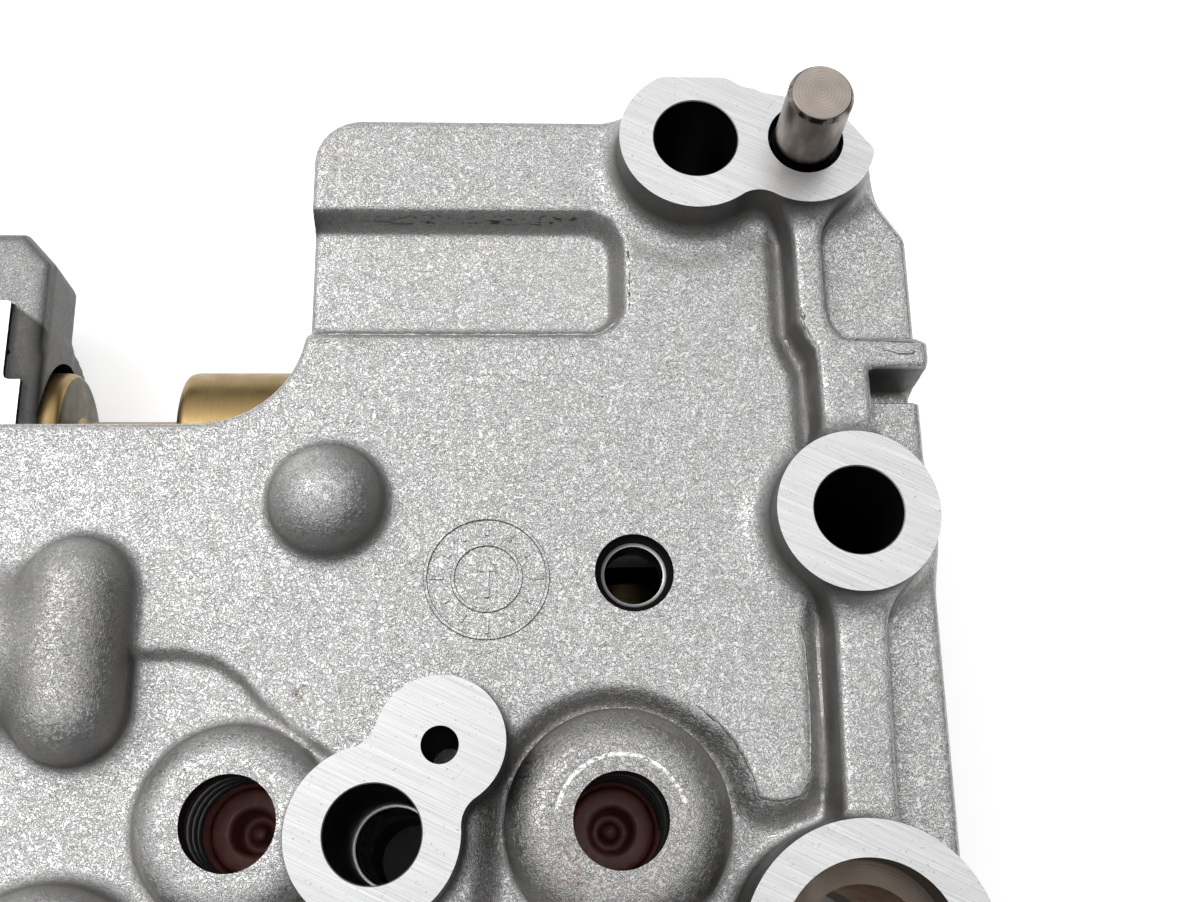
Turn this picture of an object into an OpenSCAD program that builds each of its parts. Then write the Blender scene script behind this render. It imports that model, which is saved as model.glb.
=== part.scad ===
// Transmission valve body: a die-cast channel plate screwed over a die-cast valve housing, with a steel
// separator plate between them. Millimetres, +Z up. The origin is the middle of the underside, +X points
// to the machined corner and +Y to the selector window. Places on the plan are insets from a corner of
// the housings, so each feature keeps its distance from the edges that it sits by.

/* [Housings] */
// Length of both housings along X
body_l = 200; // [190:1:240]
// Width of both housings along Y
body_w = 125; // [120:1:160]
// Thickness of the lower housing
lower_t = 18; // [17.5:0.5:26]
// Thickness of the separator plate
plate_t = 1.5; // [1:0.1:3]
// Thickness of the upper housing below its main face
upper_t = 20; // [18:0.5:28]
// Radius of the outer corners of the housings
corner_r = 7; // [3:0.5:12]
// Width of the oil tracks in the underside
track_w = 6; // [4:0.5:8]
// Depth of those tracks
track_depth = 2; // [1:0.5:2.5]

/* [Machined bosses] */
// Height of the machined boss tops over the main face
boss_h = 4.5; // [3:0.1:7]
// Diameter of the boss round each mounting hole
boss_d = 12; // [10:0.1:13]
// Diameter of the mounting holes, clear of M6
hole_d = 6.6; // [6.2:0.1:7]
// Diameter of the boss round the dowel pin
pin_boss_d = 10.6; // [9:0.1:11]
// Diameter of the small boss beside the sleeved hole
vent_boss_d = 8.8; // [7:0.1:9.4]
// Diameter of the vent drilling in that boss
vent_d = 2.6; // [1.5:0.1:4]
// Depth of the vent drilling
vent_depth = 14; // [6:0.5:16]
// Radius of the hollows between two joined bosses
waist_r = 1.4; // [1:0.1:2.5]

/* [Dowel pin and sleeve] */
// Diameter of the dowel pin
pin_d = 5; // [4:0.1:5.4]
// How far the dowel pin stands over its boss
pin_out = 6.7; // [3:0.1:10]
// Length of the dowel pin inside the housing
pin_in = 18; // [12:0.5:20]
// How much larger in radius the pin is where it is seated
pin_seat = 0.1; // [0.02:0.01:0.2]
// Depth of the neck between the pin's seated and free lengths
pin_neck = 0.3; // [0.2:0.05:0.6]
// How far that neck reaches over and under the boss top
pin_neck_reach = 0.3; // [0.2:0.05:0.6]
// Chamfer on the pin's ends
pin_chamfer = 0.3; // [0.1:0.1:0.8]
// Diameter of the open ring round the pin at the boss top
pin_relief_d = 6; // [5.6:0.1:7]
// Depth of that ring
pin_relief_depth = 4; // [1:0.5:8]
// Outer diameter of the locating sleeve
sleeve_od = 8.6; // [7.6:0.1:9.4]
// Inner diameter of the locating sleeve
sleeve_id = 6.2; // [6.1:0.1:6.8]
// Reach of the sleeve into each housing
sleeve_reach = 6; // [3:0.5:8]

/* [Pressure port] */
// Outer diameter of the port boss
port_boss_d = 17.5; // [16:0.1:20]
// Bore of the port boss
port_bore_d = 12.3; // [11:0.1:13]
// Depth from the boss top to the port bush
port_lip = 3; // [1:0.1:5]
// Bore of the port bush
bush_id = 9; // [6:0.1:9.6]
// Length of the port bush
bush_l = 16; // [8:0.5:17]

/* [Ringed hole] */
// Diameter of the ringed hole
ring_d = 4.4; // [3:0.1:5]
// Outer diameter of its bevelled ring
ring_bevel_d = 6.2; // [5.4:0.1:7]

/* [Dampers] */
// Outer diameter of each damper dome
dome_d = 15.6; // [14.6:0.1:18]
// Height of each damper dome over the main face
dome_h = 3.5; // [2.5:0.1:5]
// Height of the flatter dome over the second damper
dome_low_h = 2.2; // [2:0.1:5]
// Radius of the dome's shoulder
dome_round = 3; // [1:0.1:3.4]
// Diameter of the hole in each dome
dome_hole_d = 6.6; // [5:0.1:7]
// Bore that each damper piston slides in
damper_bore_d = 10; // [9:0.1:11]
// Thickness of the roof over the damper bore, at the hole
damper_roof = 2; // [1.5:0.1:2.4]
// Stroke of each damper piston
damper_stroke = 4; // [1:0.5:5]
// Wire diameter of the damper springs
damper_wire = 0.8; // [0.5:0.1:1]
// Turns of each damper spring
damper_turns = 4; // [3:1:5]

/* [Regulators] */
// Bore of each regulator valve
spool_bore_d = 9; // [8:0.1:9.4]
// Length of each regulator spool with its spring spigot
spool_l = 46; // [40:0.5:50]
// Length of each land on a regulator spool
spool_land = 8; // [6:0.5:9]
// Neck diameter of a regulator spool
spool_neck_d = 5.4; // [4:0.1:6]
// Length of each end plug
plug_l = 10; // [8:0.5:14]
// Stroke of each regulator spool
spool_stroke = 5; // [2:0.5:8]
// Wire diameter of the regulator springs
spring_wire = 0.9; // [0.5:0.1:1.2]
// Turns of each regulator spring
spring_turns = 7; // [4:1:9]

/* [Selector valve] */
// Diameter of the selector valve's lands
valve_d = 14.4; // [11:0.1:14.8]
// Neck diameter between its lands
valve_neck_d = 5; // [4:0.1:7]
// Width of the drive groove in the window
valve_groove = 10.4; // [8:0.1:11]
// Length of the land in the lug
valve_tail = 17; // [15:0.5:18]
// Length of the land that shows in the window
valve_land = 26; // [20:0.5:28]
// Roof over the selector and regulator bores
bore_roof = 2; // [1:0.1:2.4]
// Length of the plug that closes the selector bore
valve_plug_l = 6; // [4:0.5:8]
// Depth of the selector window from the back edge
window_v = 26; // [25.6:0.1:27]

/* [Fasteners] */
// Diameter of the joining bolts
bolt_d = 6; // [5:0.1:6]
// Diameter of the bolt heads
bolt_head_d = 10; // [8:0.1:10.4]
// Height of the bolt heads
bolt_head_h = 5; // [3:0.1:5.4]
// Length of each bolt in the upper housing
bolt_grip = 11; // [8:0.5:12]

/* [Fits] */
// Radial clearance of a sliding valve or piston
run_fit = 0.04; // [0.02:0.01:0.08]
// Radial clearance of a pin, sleeve, plug or bush in its hole
seat_fit = 0.02; // [0.01:0.01:0.05]
// Radial clearance of a bolt in its hole
bolt_fit = 0.2; // [0.1:0.05:0.4]
// End gap that a moving piece keeps from its stop
end_gap = 0.3; // [0.2:0.05:0.5]

/* [Hidden] */
$fn = 64;

// Corners of the plan: a place is an inset from the named corner
function at(p) = [body_l / 2 - p[0], body_w / 2 - p[1]];
function at_br(p) = [body_l / 2 - p[0], -body_w / 2 + p[1]];
function at_bl(p) = [-body_l / 2 + p[0], -body_w / 2 + p[1]];
function at_tl(p) = [-body_l / 2 + p[0], body_w / 2 - p[1]];

// Heights of the stack
plate_z = lower_t;
part_z = lower_t + plate_t;
face_z = part_z + upper_t;
boss_z = face_z + boss_h;

// Places of the machined features
mid_bolt = at([6.5, 34.4]);
top_bolt = at([17.2, 4.1]);
pin_at = at([8.5, 4.1]);
sleeve_at = at([40.9, 56.6]);
vent_at = at([36.5, 50.8]);
port_at = at([7.8, 64.8]);
ring_at = at([22.6, 37.9]);
plain_bolts = [mid_bolt, at_br([6.5, 7.6]), at_br([36, 7.6]), at_br([109.5, 7.6]), at_bl([7.5, 7.6]),
    at_tl([7.5, 12.4]), at_tl([81.5, 12.4]), at_tl([63.5, 62.4])];
mount_holes = concat(plain_bolts, [top_bolt, sleeve_at]);
joint_bolts = [at([33.5, 32.4]), at_br([33.5, 34.6]), at_br([9.5, 32.6]), at([106.5, 34.4]),
    at_br([106.5, 34.6]), at_bl([48.5, 30.6]), at_tl([43.5, 34.4]), at_tl([9.5, 60])];
damper_at = [at([24.2, 55.9]), at([50.9, 55.6]), at([62.7, 67.1])];
tracks = [[at([21.7, 50]), at([21.7, 108])], [at([51, 42]), at([51, 84])], [at([58, 92]), at([69, 106])],
    [at([64.5, 44]), at([64.5, 80])], [at([78, 40]), at([78, 104])], [at([91.5, 52]), at([91.5, 82])],
    [at([120, 34]), at([120, 84])], [at([130, 92]), at([144, 106])],
    [at_tl([28, 24]), at_tl([28, 100])], [at_tl([38, 74]), at_tl([62, 74])]];

// Levels of the cast face, over or under the main face
rib_h = 2.2;
corner_step = 0.5;
low_drop = 2;
pocket_drop = 2.3;
field_drop = 0.9;
back_cut = 1.35;
pit_drop = 2.8;

// Back edge of the top double boss, cut back round the dowel pin
top_boss_back = [[60, 30], [-4, 30], [-4, 15], [3.2, 4.8], [4.86, 2.6], [6.3, 1], [8.7, 0.54], [11.7, 0],
    [14, -back_cut], [60, -back_cut]];

// Edge of the main face along the right-hand ribs and round the first dome, which stand in a narrow trench
low_edge = concat([[10.2, 6], [10.2, 18.8], [8.9, 21.4], [8.9, 38], [9.1, 42], [9.2, 53], [10.2, 54.6],
    [12.6, 55.6]], [for (a = [8:16:152]) [24.2 - 8.9 * cos(a), 55.9 - 8.9 * sin(a)]],
    [[33, 53], [34, 65.5], [28, 69], [18, 69], [12, 76.5], [6, 76.5], [6, 6]]);

// Selector window and lug
window_u = [47.5, 91.5];
window_r = 8;
block_r = 3.8;
tower_drop = 4;
lug_u = 75;
lug_v = 0.2;
lug_top = lower_t - 0.8;
lug_base = 0.2;
lug_floor = lower_t - 9.5;
pad_u = [78.1, 76.5];
pad_v = [6.6, 14.4];

// Selector valve: its axis runs along X
valve_bore_d = valve_d + 2 * run_fit;
valve_y = body_w / 2 - 18;
valve_z = lower_t - bore_roof - valve_bore_d / 2;
lug_boss_r = valve_bore_d / 2 + 3;
valve_face_x = at([73.3, 0])[0];
valve_end_gap = 4;
valve_end_land = 12;
valve_travel_in = 2;
valve_bore_start = valve_face_x - valve_tail - valve_travel_in - 1;

// Regulator bank: the axes run along -Y from the closed ends of the bores
spool_d = spool_bore_d - 2 * run_fit;
spool_x = [for (u = [21.7, 51, 64.5, 78, 91.5]) at([u, 0])[0]];
bore_end_y = at([0, 33])[1];
spool_top_y = bore_end_y - end_gap;
spool_z = lower_t - bore_roof - spool_bore_d / 2;
spigot_l = 6;
spigot_d = spool_neck_d - 1.4;
plug_in_y = -body_w / 2 + 1 + plug_l;
clip_t = 1.2;
clip_gap = 0.1;
clip_w = spool_bore_d + 3;
clip_y = plug_in_y - plug_l / 2;
neck_d = spool_bore_d - 3.4;
spring_r = (spool_bore_d - 2 * spring_wire) / 2 - 0.55;
spring_top_y = spool_top_y - spool_l + spigot_l;

// Dampers: each piston stands on the separator plate, with its spring under the dome's roof
damper_d = damper_bore_d - 2 * run_fit;
dome_hs = [dome_h, dome_low_h, dome_h];
damper_top_z = [for (h = dome_hs) face_z + h - damper_roof];
damper_solid = (damper_turns + 1) * damper_wire;
damper_l = min(damper_top_z) - part_z - damper_stroke - damper_solid - end_gap;
damper_cup = 4;
damper_spring_r = damper_d / 2 - 1.1;

// Pressure port
bush_top = boss_z - port_lip;
bush_od = port_bore_d - 2 * seat_fit;

// Points of an arc round c, counted from angle a to angle b
function arc(c, r, a, b, n = 8) =
    [for (i = [0:n]) let (t = a + (b - a) * i / n) c + r * [cos(t), sin(t)]];

// Centre of a circle of radius r that touches two circles from outside, on the side s of their line
function touch(a, ra, b, rb, r, s) =
    let (d = norm(b - a), p = ra + r, q = rb + r, x = (d * d + p * p - q * q) / (2 * d),
        e = (b - a) / d)
    a + x * e + s * sqrt(p * p - x * x) * [-e[1], e[0]];

// Plan outline of the housings, with the window's left end at inset w
function outline(w) = let (r = body_l / 2, t = body_w / 2, f = window_r, c = corner_r)
    concat(arc([r - c, c - t], c, -90, 0), [[r, t - 10.4], [r - 6.6, t]],
        arc([r - window_u[0] + block_r, t - block_r], block_r, 90, 180),
        arc([r - window_u[0] - f, t - window_v + f], f, 0, -90),
        arc([r - w + f, t - window_v + f], f, -90, -180),
        arc([r - w - block_r, t - tower_drop - block_r], block_r, 0, 90),
        arc([c - r, t - tower_drop - c], c, 90, 180), arc([c - r, c - t], c, 180, 270));

// Helix along +Z as a round wire, closed at both ends
module coil(r, wire, height, turns, steps = 14, sides = 6) {
    n = turns * steps;
    pitch = (height - wire) / turns;
    pts = [for (i = [0:n]) for (j = [0:sides - 1])
        let (a = 360 * i / steps, b = 360 * j / sides, q = r + wire / 2 * cos(b))
        [q * cos(a), q * sin(a), wire / 2 + pitch * i / steps + wire / 2 * sin(b)]];
    near = [for (i = [0:n - 1]) for (j = [0:sides - 1])
        [i * sides + j, (i + 1) * sides + j, (i + 1) * sides + (j + 1) % sides]];
    far = [for (i = [0:n - 1]) for (j = [0:sides - 1])
        [i * sides + j, (i + 1) * sides + (j + 1) % sides, i * sides + (j + 1) % sides]];
    caps = [[for (j = [0:sides - 1]) j], [for (j = [sides - 1:-1:0]) n * sides + j]];
    polyhedron(pts, concat(near, far, caps));
}

// Plan of two bosses joined by a waist with hollow sides
module joined_bosses(a, ra, b, rb) {
    left = touch(a, ra, b, rb, waist_r, 1);
    right = touch(a, ra, b, rb, waist_r, -1);
    translate(a) circle(ra);
    translate(b) circle(rb);
    difference() {
        polygon([a, right, b, left]);
        translate(left) circle(waist_r + 0.03);
        translate(right) circle(waist_r + 0.03);
    }
}

module top_boss_plan() {
    intersection() {
        joined_bosses(top_bolt, boss_d / 2, pin_at, pin_boss_d / 2);
        polygon([for (p = top_boss_back) at(p)]);
    }
}

// Upright bar between two Z levels over a plan polygon of insets from the back right corner
module bar(insets, low, high) {
    translate([0, 0, low]) linear_extrude(high - low) polygon([for (p = insets) at(p)]);
}

module drill(p, d, low, high) {
    translate([p[0], p[1], low]) cylinder(d = d, h = high - low);
}

// Dome over a damper bore: a drum with a rounded shoulder
module damper_dome(i) {
    p = damper_at[i];
    r = dome_d / 2;
    h = dome_hs[i] + 4;
    translate([p[0], p[1], face_z - 4]) rotate_extrude() {
        difference() {
            square([r, h]);
            translate([r - dome_round, h - dome_round]) difference() {
                square(dome_round + 1);
                circle(dome_round);
            }
        }
    }
}

// Low rib between two bosses on the main face
module boss_rib(a, b, w) {
    d = b - a;
    translate([a[0], a[1], face_z - 1]) rotate(atan2(d[1], d[0])) translate([0, -w / 2])
        cube([norm(d), w, 1 + rib_h]);
}

// Channel cut into the underside of the upper housing
module channel(p, size, depth) {
    translate([p[0] - size[0] / 2, p[1] - size[1] / 2, part_z - 1]) cube([size[0], size[1], depth + 1]);
}

// Plate of the upper housing with the hollows of its cast face
module cast_plate() {
    difference() {
        translate([0, 0, part_z]) linear_extrude(upper_t) polygon(outline(window_u[1]));
        bar([[23.6, 8.9], [60, 8.9], [60, 18.9], [23.6, 18.9]], face_z - pocket_drop, face_z + 1);
        bar(low_edge, face_z - low_drop, face_z + 1);
        bar([[4.6, 22], [-4, 22], [-4, 24.5], [4.6, 24.5]], face_z - pit_drop, face_z + 1);
        bar([[70, 43.2], [55, 43.2], [53, 44], [51.3, 45.5], [49.8, 47.3], [47.3, 49.2], [44, 52], [44, 62],
            [52, 74], [70, 74]], face_z - field_drop, face_z + 1);
    }
}

module upper_solid() {
    cast_plate();
    // Bosses
    translate([0, 0, part_z]) linear_extrude(upper_t + boss_h) top_boss_plan();
    translate([0, 0, face_z - 3]) linear_extrude(boss_h + 3)
        joined_bosses(sleeve_at, boss_d / 2 - 0.1, vent_at, vent_boss_d / 2);
    for (p = plain_bolts) drill(p, boss_d, face_z - 3, boss_z);
    drill(port_at, port_boss_d, part_z, boss_z);
    // Domes, bulges and ribs
    for (i = [0:2]) damper_dome(i);
    for (p = [at([45.3, 32.4]), at_tl([52, 40]), at_bl([128, 38])])
        translate([p[0], p[1], face_z]) sphere(4.35);
    for (p = [at([62.8, 43.25]), at_bl([28, 52])]) oval_bulge(p);
    translate([at([64.5, 0])[0], at([0, 43.1])[1], face_z - 3.3]) rotate([0, -90, 0]) cylinder(r = 6, h = 14);
    bar([[9.5, 8], [9.5, 18.5], [8.2, 20.9], [8, 31], [4.3, 31], [4.3, 22.4], [-0.4, 22.4], [-0.4, 20],
        [6, 20], [7.25, 18.2], [7.25, 8]], face_z - 3, face_z + rib_h);
    bar([[7.25, 7], [3, 7], [0.3, 11.2], [0.3, 21], [7.25, 21]], face_z - 3, face_z + corner_step);
    bar([[8.3, 38], [4.7, 38], [4.7, 60], [8.3, 60]], face_z - 3, face_z + rib_h);
    boss_rib(plain_bolts[1], plain_bolts[2], 4);
    boss_rib(plain_bolts[2], plain_bolts[3], 4);
    boss_rib(plain_bolts[3], plain_bolts[4], 4);
    boss_rib(plain_bolts[4], plain_bolts[5], 4);
    boss_rib(plain_bolts[5], plain_bolts[6], 4);
}

// Long bulge with round ends along Y
module oval_bulge(p) {
    translate([p[0], p[1], face_z - 0.1]) {
        rotate([90, 0, 0]) cylinder(r = 3.85, h = 8.2, center = true);
        for (s = [-1, 1]) translate([0, s * 4.1, 0]) sphere(4);
    }
}

module upper_housing() {
    color([0.78, 0.78, 0.77]) difference() {
        upper_solid();
        // Mounting holes, vent, pin and sleeve seats
        for (p = mount_holes) drill(p, hole_d, part_z - 1, boss_z + 1);
        drill(vent_at, vent_d, boss_z - vent_depth, boss_z + 1);
        drill(pin_at, pin_d + 2 * pin_seat + 2 * seat_fit, boss_z - pin_in, boss_z + 1);
        drill(pin_at, pin_relief_d, boss_z - pin_relief_depth, boss_z + 1);
        drill(sleeve_at, sleeve_od + 2 * seat_fit, part_z - 1, part_z + sleeve_reach);
        // Pressure port
        drill(port_at, port_bore_d, bush_top - bush_l, boss_z + 1);
        drill(port_at, bush_id, part_z - 1, bush_top);
        // Dampers
        for (i = [0:2]) {
            drill(damper_at[i], dome_hole_d, face_z - 3, face_z + dome_hs[i] + 1);
            drill(damper_at[i], damper_bore_d, part_z - 1, damper_top_z[i]);
        }
        // Ringed hole over its channel
        drill(ring_at, ring_d, part_z, face_z + 1);
        translate([ring_at[0], ring_at[1], face_z - 0.7]) cylinder(d1 = ring_d, d2 = ring_bevel_d, h = 0.9);
        channel([spool_x[0], at([0, 35.9])[1]], [8, 14], upper_t - 3.5);
        // Oil channels in the underside
        channel(at([61.5, 79.4]), [70, 7], 9);
        channel(at([60, 104.4]), [83, 7], 9);
        channel(at([124.5, 62]), [7, 70], 9);
        channel(at_tl([33.5, 62]), [7, 70], 9);
        channel(at([32.5, 12.4]), [24, 7], 9);
        channel(at([76.5, 45.9]), [7, 25], 9);
        for (p = joint_bolts) drill(p, bolt_d + 2 * seat_fit, part_z - 1, part_z + bolt_grip + 1);
    }
}

module separator_plate() {
    color([0.62, 0.63, 0.64]) difference() {
        translate([0, 0, plate_z]) linear_extrude(plate_t) {
            polygon(outline(window_u[1]));
            top_boss_plan();
        }
        for (p = concat(plain_bolts, [top_bolt])) drill(p, hole_d, plate_z - 1, part_z + 1);
        drill(sleeve_at, sleeve_od + 2 * bolt_fit, plate_z - 1, part_z + 1);
        for (p = joint_bolts) drill(p, bolt_d + 2 * bolt_fit, plate_z - 1, part_z + 1);
        for (p = damper_at) drill(p, 2.5, plate_z - 1, part_z + 1);
        translate([spool_x[0] - 3.5, at([0, 40.4])[1], plate_z - 1]) cube([7, 9, plate_t + 2]);
        for (x = spool_x) for (k = [1:3])
            drill([x, spool_port_y(k)], 3, plate_z - 1, part_z + 1);
        drill(port_at, 6, plate_z - 1, part_z + 1);
    }
}

// Oil track with round ends in the underside
module track(a, b) {
    d = b - a;
    translate([a[0], a[1], -1]) rotate(atan2(d[1], d[0])) {
        translate([0, -track_w / 2]) cube([norm(d), track_w, track_depth + 1]);
        for (x = [0, norm(d)]) translate([x, 0]) cylinder(d = track_w, h = track_depth + 1);
    }
}

// Middle of the k-th oil port along a regulator bore
function spool_port_y(k) = spool_top_y - spool_land - 5 - (k - 1) * (spool_land + 5);

module lug() {
    x0 = at([window_u[1] + 1, 0])[0];
    x1 = at([lug_u, 0])[0];
    y0 = at([0, window_v + 1])[1];
    y1 = at([0, lug_v])[1];
    translate([x0, valve_y - 2, lug_floor]) difference() {
        cube([x1 - x0, y1 - valve_y + 2, lug_top - lug_floor]);
        translate([x1 - x0, y1 - valve_y + 2, -1]) rotate(45) cube([4.4, 12, 40], center = true);
    }
    intersection() {
        translate([x0, valve_y, valve_z]) rotate([0, 90, 0]) cylinder(r = lug_boss_r, h = x1 - x0);
        translate([x0 - 1, valve_y - 20, lug_base]) cube([x1 - x0 + 2, 40, lug_top - 0.4 - lug_base]);
    }
    translate([x0, y0, lug_base]) cube([x1 - x0, valve_y - y0, lug_top - 0.4 - lug_base]);
    for (i = [0, 1]) translate([x0, y0, lug_top - 3])
        cube([at([pad_u[i], 0])[0] - x0, window_v + 1 - pad_v[i], lower_t - lug_top + 3]);
}

module lower_housing() {
    color([0.70, 0.70, 0.69]) difference() {
        union() {
            linear_extrude(lower_t) polygon(outline(window_u[1]));
            linear_extrude(lower_t) top_boss_plan();
            lug();
        }
        for (p = concat(plain_bolts, [top_bolt, sleeve_at])) drill(p, hole_d, -1, lower_t + 1);
        drill(sleeve_at, sleeve_od + 2 * seat_fit, plate_z - sleeve_reach, plate_z + 1);
        for (p = joint_bolts) {
            drill(p, bolt_d + 2 * bolt_fit, -1, lower_t + 1);
            drill(p, bolt_head_d + 1, -1, bolt_head_h + 1);
        }
        for (t = tracks) track(t[0], t[1]);
        // Selector bore, from the lug across the window and out of the right side
        translate([valve_bore_start, valve_y, valve_z]) rotate([0, 90, 0])
            cylinder(d = valve_bore_d, h = body_l / 2 + 5 - valve_bore_start);
        translate([at([lug_u, 0])[0] - 1.2, valve_y, valve_z]) rotate([0, 90, 0])
            cylinder(d1 = valve_bore_d - 0.2, d2 = valve_bore_d + 2, h = 1.7);
        // Regulator bores, their oil ports and the slots for the plug clips
        for (x = spool_x) {
            translate([x, bore_end_y, spool_z]) rotate([90, 0, 0])
                cylinder(d = spool_bore_d, h = bore_end_y + body_w / 2 + 1);
            for (k = [1:3]) translate([x - 2, spool_port_y(k) - 2.5, spool_z]) cube([4, 5, lower_t]);
            translate([x - clip_w / 2 - clip_gap, clip_y - clip_t / 2 - clip_gap, spool_z - neck_d / 2])
                cube([clip_w + 2 * clip_gap, clip_t + 2 * clip_gap, lower_t]);
        }
        translate([spool_x[0] - 3, at([0, 40])[1], spool_z]) cube([6, 7.6, lower_t]);
    }
}

module selector_valve() {
    r = valve_d / 2;
    n = valve_neck_d / 2;
    a = valve_tail;
    b = a + valve_groove;
    c = b + valve_land;
    d = c + valve_end_gap;
    e = d + valve_end_land;
    color([0.66, 0.54, 0.33]) translate([valve_face_x - valve_tail, valve_y, valve_z]) rotate([0, 90, 0])
        rotate_extrude() polygon(concat([[0, 0], [r - 0.5, 0], [r, 0.5], [r, a - 0.9], [r - 0.25, a - 0.25],
            [r - 0.9, a], [n, a], [n, b], [r - 0.9, b], [r - 0.25, b + 0.25], [r, b + 0.9], [r, c], [n, c],
            [n, d], [r, d], [r, e - 0.5], [r - 0.5, e], [0, e]]));
}

module selector_plug() {
    r = valve_bore_d / 2 - seat_fit;
    l = valve_plug_l;
    color([0.72, 0.72, 0.73]) translate([body_l / 2 - 1, valve_y, valve_z]) rotate([0, -90, 0])
        rotate_extrude() polygon([[0, 2], [r - 1.6, 2], [r - 1.6, 0], [r - 0.4, 0], [r, 0.4], [r, l - 0.4],
            [r - 0.4, l], [0, l]]);
}

module dowel_pin() {
    r = pin_d / 2;
    s = r + pin_seat;
    l = pin_in + pin_out;
    c = pin_chamfer;
    n = r - pin_neck;
    a = pin_in - pin_neck_reach;
    b = pin_in + pin_neck_reach;
    color([0.60, 0.57, 0.54]) translate([pin_at[0], pin_at[1], boss_z - pin_in]) rotate_extrude()
        polygon([[0, 0], [s - c, 0], [s, c], [s, a], [n, a], [n, b], [r, b], [r, l - 1.5 * c], [r - c, l],
            [0, l]]);
}

module locating_sleeve() {
    color([0.66, 0.66, 0.67]) difference() {
        drill(sleeve_at, sleeve_od, plate_z - sleeve_reach, part_z + sleeve_reach);
        drill(sleeve_at, sleeve_id, plate_z - sleeve_reach - 1, part_z + sleeve_reach + 1);
    }
}

module port_bush() {
    color([0.45, 0.35, 0.26]) difference() {
        drill(port_at, bush_od, bush_top - bush_l, bush_top);
        drill(port_at, bush_id, bush_top - bush_l - 1, bush_top + 1);
    }
}

module regulator_spool(i) {
    r = spool_d / 2;
    n = spool_neck_d / 2;
    g = spigot_d / 2;
    w = (spool_l - spigot_l - 3 * spool_land) / 2;
    a = spool_land;
    b = a + w;
    c = b + spool_land;
    d = c + w;
    e = d + spool_land;
    color([0.66, 0.54, 0.33]) translate([spool_x[i], spool_top_y, spool_z]) rotate([90, 0, 0])
        rotate_extrude() polygon([[0, 0], [r - 0.2, 0], [r, 0.2], [r, a], [n, a], [n, b], [r, b], [r, c],
            [n, c], [n, d], [r, d], [r, e], [g, e], [g, e + spigot_l], [0, e + spigot_l]]);
}

module regulator_spring(i) {
    color([0.50, 0.51, 0.53]) translate([spool_x[i], spring_top_y - 0.05, spool_z]) rotate([90, 0, 0])
        coil(spring_r, spring_wire, spring_top_y - plug_in_y - 0.1, spring_turns);
}

// Plugs, each with a rod inside its spring that stops the spool at the end of its stroke
module spool_plugs() {
    r = spool_bore_d / 2 - seat_fit;
    n = neck_d / 2 - clip_gap;
    g = clip_t / 2 + 2 * clip_gap;
    s = spigot_d / 2;
    h = spool_top_y - spool_l - spool_stroke - end_gap - plug_in_y;
    color([0.72, 0.72, 0.73]) for (x = spool_x) translate([x, plug_in_y, spool_z]) rotate([90, 0, 0])
        rotate_extrude() polygon([[0, -h], [s - 0.3, -h], [s, 0.3 - h], [s, 0], [r, 0], [r, plug_l / 2 - g],
            [n, plug_l / 2 - g], [n, plug_l / 2 + g], [r, plug_l / 2 + g], [r, plug_l - 0.4],
            [r - 0.4, plug_l], [0, plug_l]]);
}

module plug_clips() {
    n = neck_d / 2;
    g = clip_gap;
    color([0.58, 0.59, 0.60]) for (x = spool_x) translate([x, clip_y, spool_z]) difference() {
        translate([-clip_w / 2, -clip_t / 2, g - n]) cube([clip_w, clip_t, lower_t - spool_z + n - 2 * g]);
        translate([-n, -clip_t, -2 * n]) cube([neck_d, 2 * clip_t, 2 * n]);
        rotate([90, 0, 0]) cylinder(r = n, h = 2 * clip_t, center = true);
    }
}

module joining_bolts() {
    color([0.45, 0.46, 0.48]) for (p = joint_bolts) difference() {
        union() {
            drill(p, bolt_head_d, 1, bolt_head_h + 1);
            drill(p, bolt_d, bolt_head_h, part_z + bolt_grip);
        }
        translate([p[0], p[1], 0]) cylinder(d = 5.8, h = 4, $fn = 6);
    }
}

module damper_piston(i) {
    r = damper_d / 2;
    h = damper_l;
    w = 1.9;
    f = h - damper_cup;
    color([0.30, 0.16, 0.15]) translate([damper_at[i][0], damper_at[i][1], part_z])
        rotate_extrude() polygon([[0, 0], [r - 0.5, 0], [r, 0.5], [r, h - 0.3], [r - 0.3, h],
            [r - w, h], [r - w - 0.5, f], [1, f], [0.8, f + 1.6], [0, f + 1.8]]);
}

module damper_spring(i) {
    color([0.22, 0.22, 0.23]) translate([damper_at[i][0], damper_at[i][1], part_z + damper_l + 0.05])
        coil(damper_spring_r, damper_wire, damper_top_z[i] - part_z - damper_l - 0.1, damper_turns);
}

upper_housing();
separator_plate();
lower_housing();
selector_valve();
selector_plug();
dowel_pin();
locating_sleeve();
port_bush();
spool_plugs();
plug_clips();
joining_bolts();
for (i = [0:4]) {
    regulator_spool(i);
    regulator_spring(i);
}
for (i = [0:2]) {
    damper_piston(i);
    damper_spring(i);
}
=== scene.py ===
import math

import bmesh
import bpy
import numpy as np
from mathutils import Matrix, Vector


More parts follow.
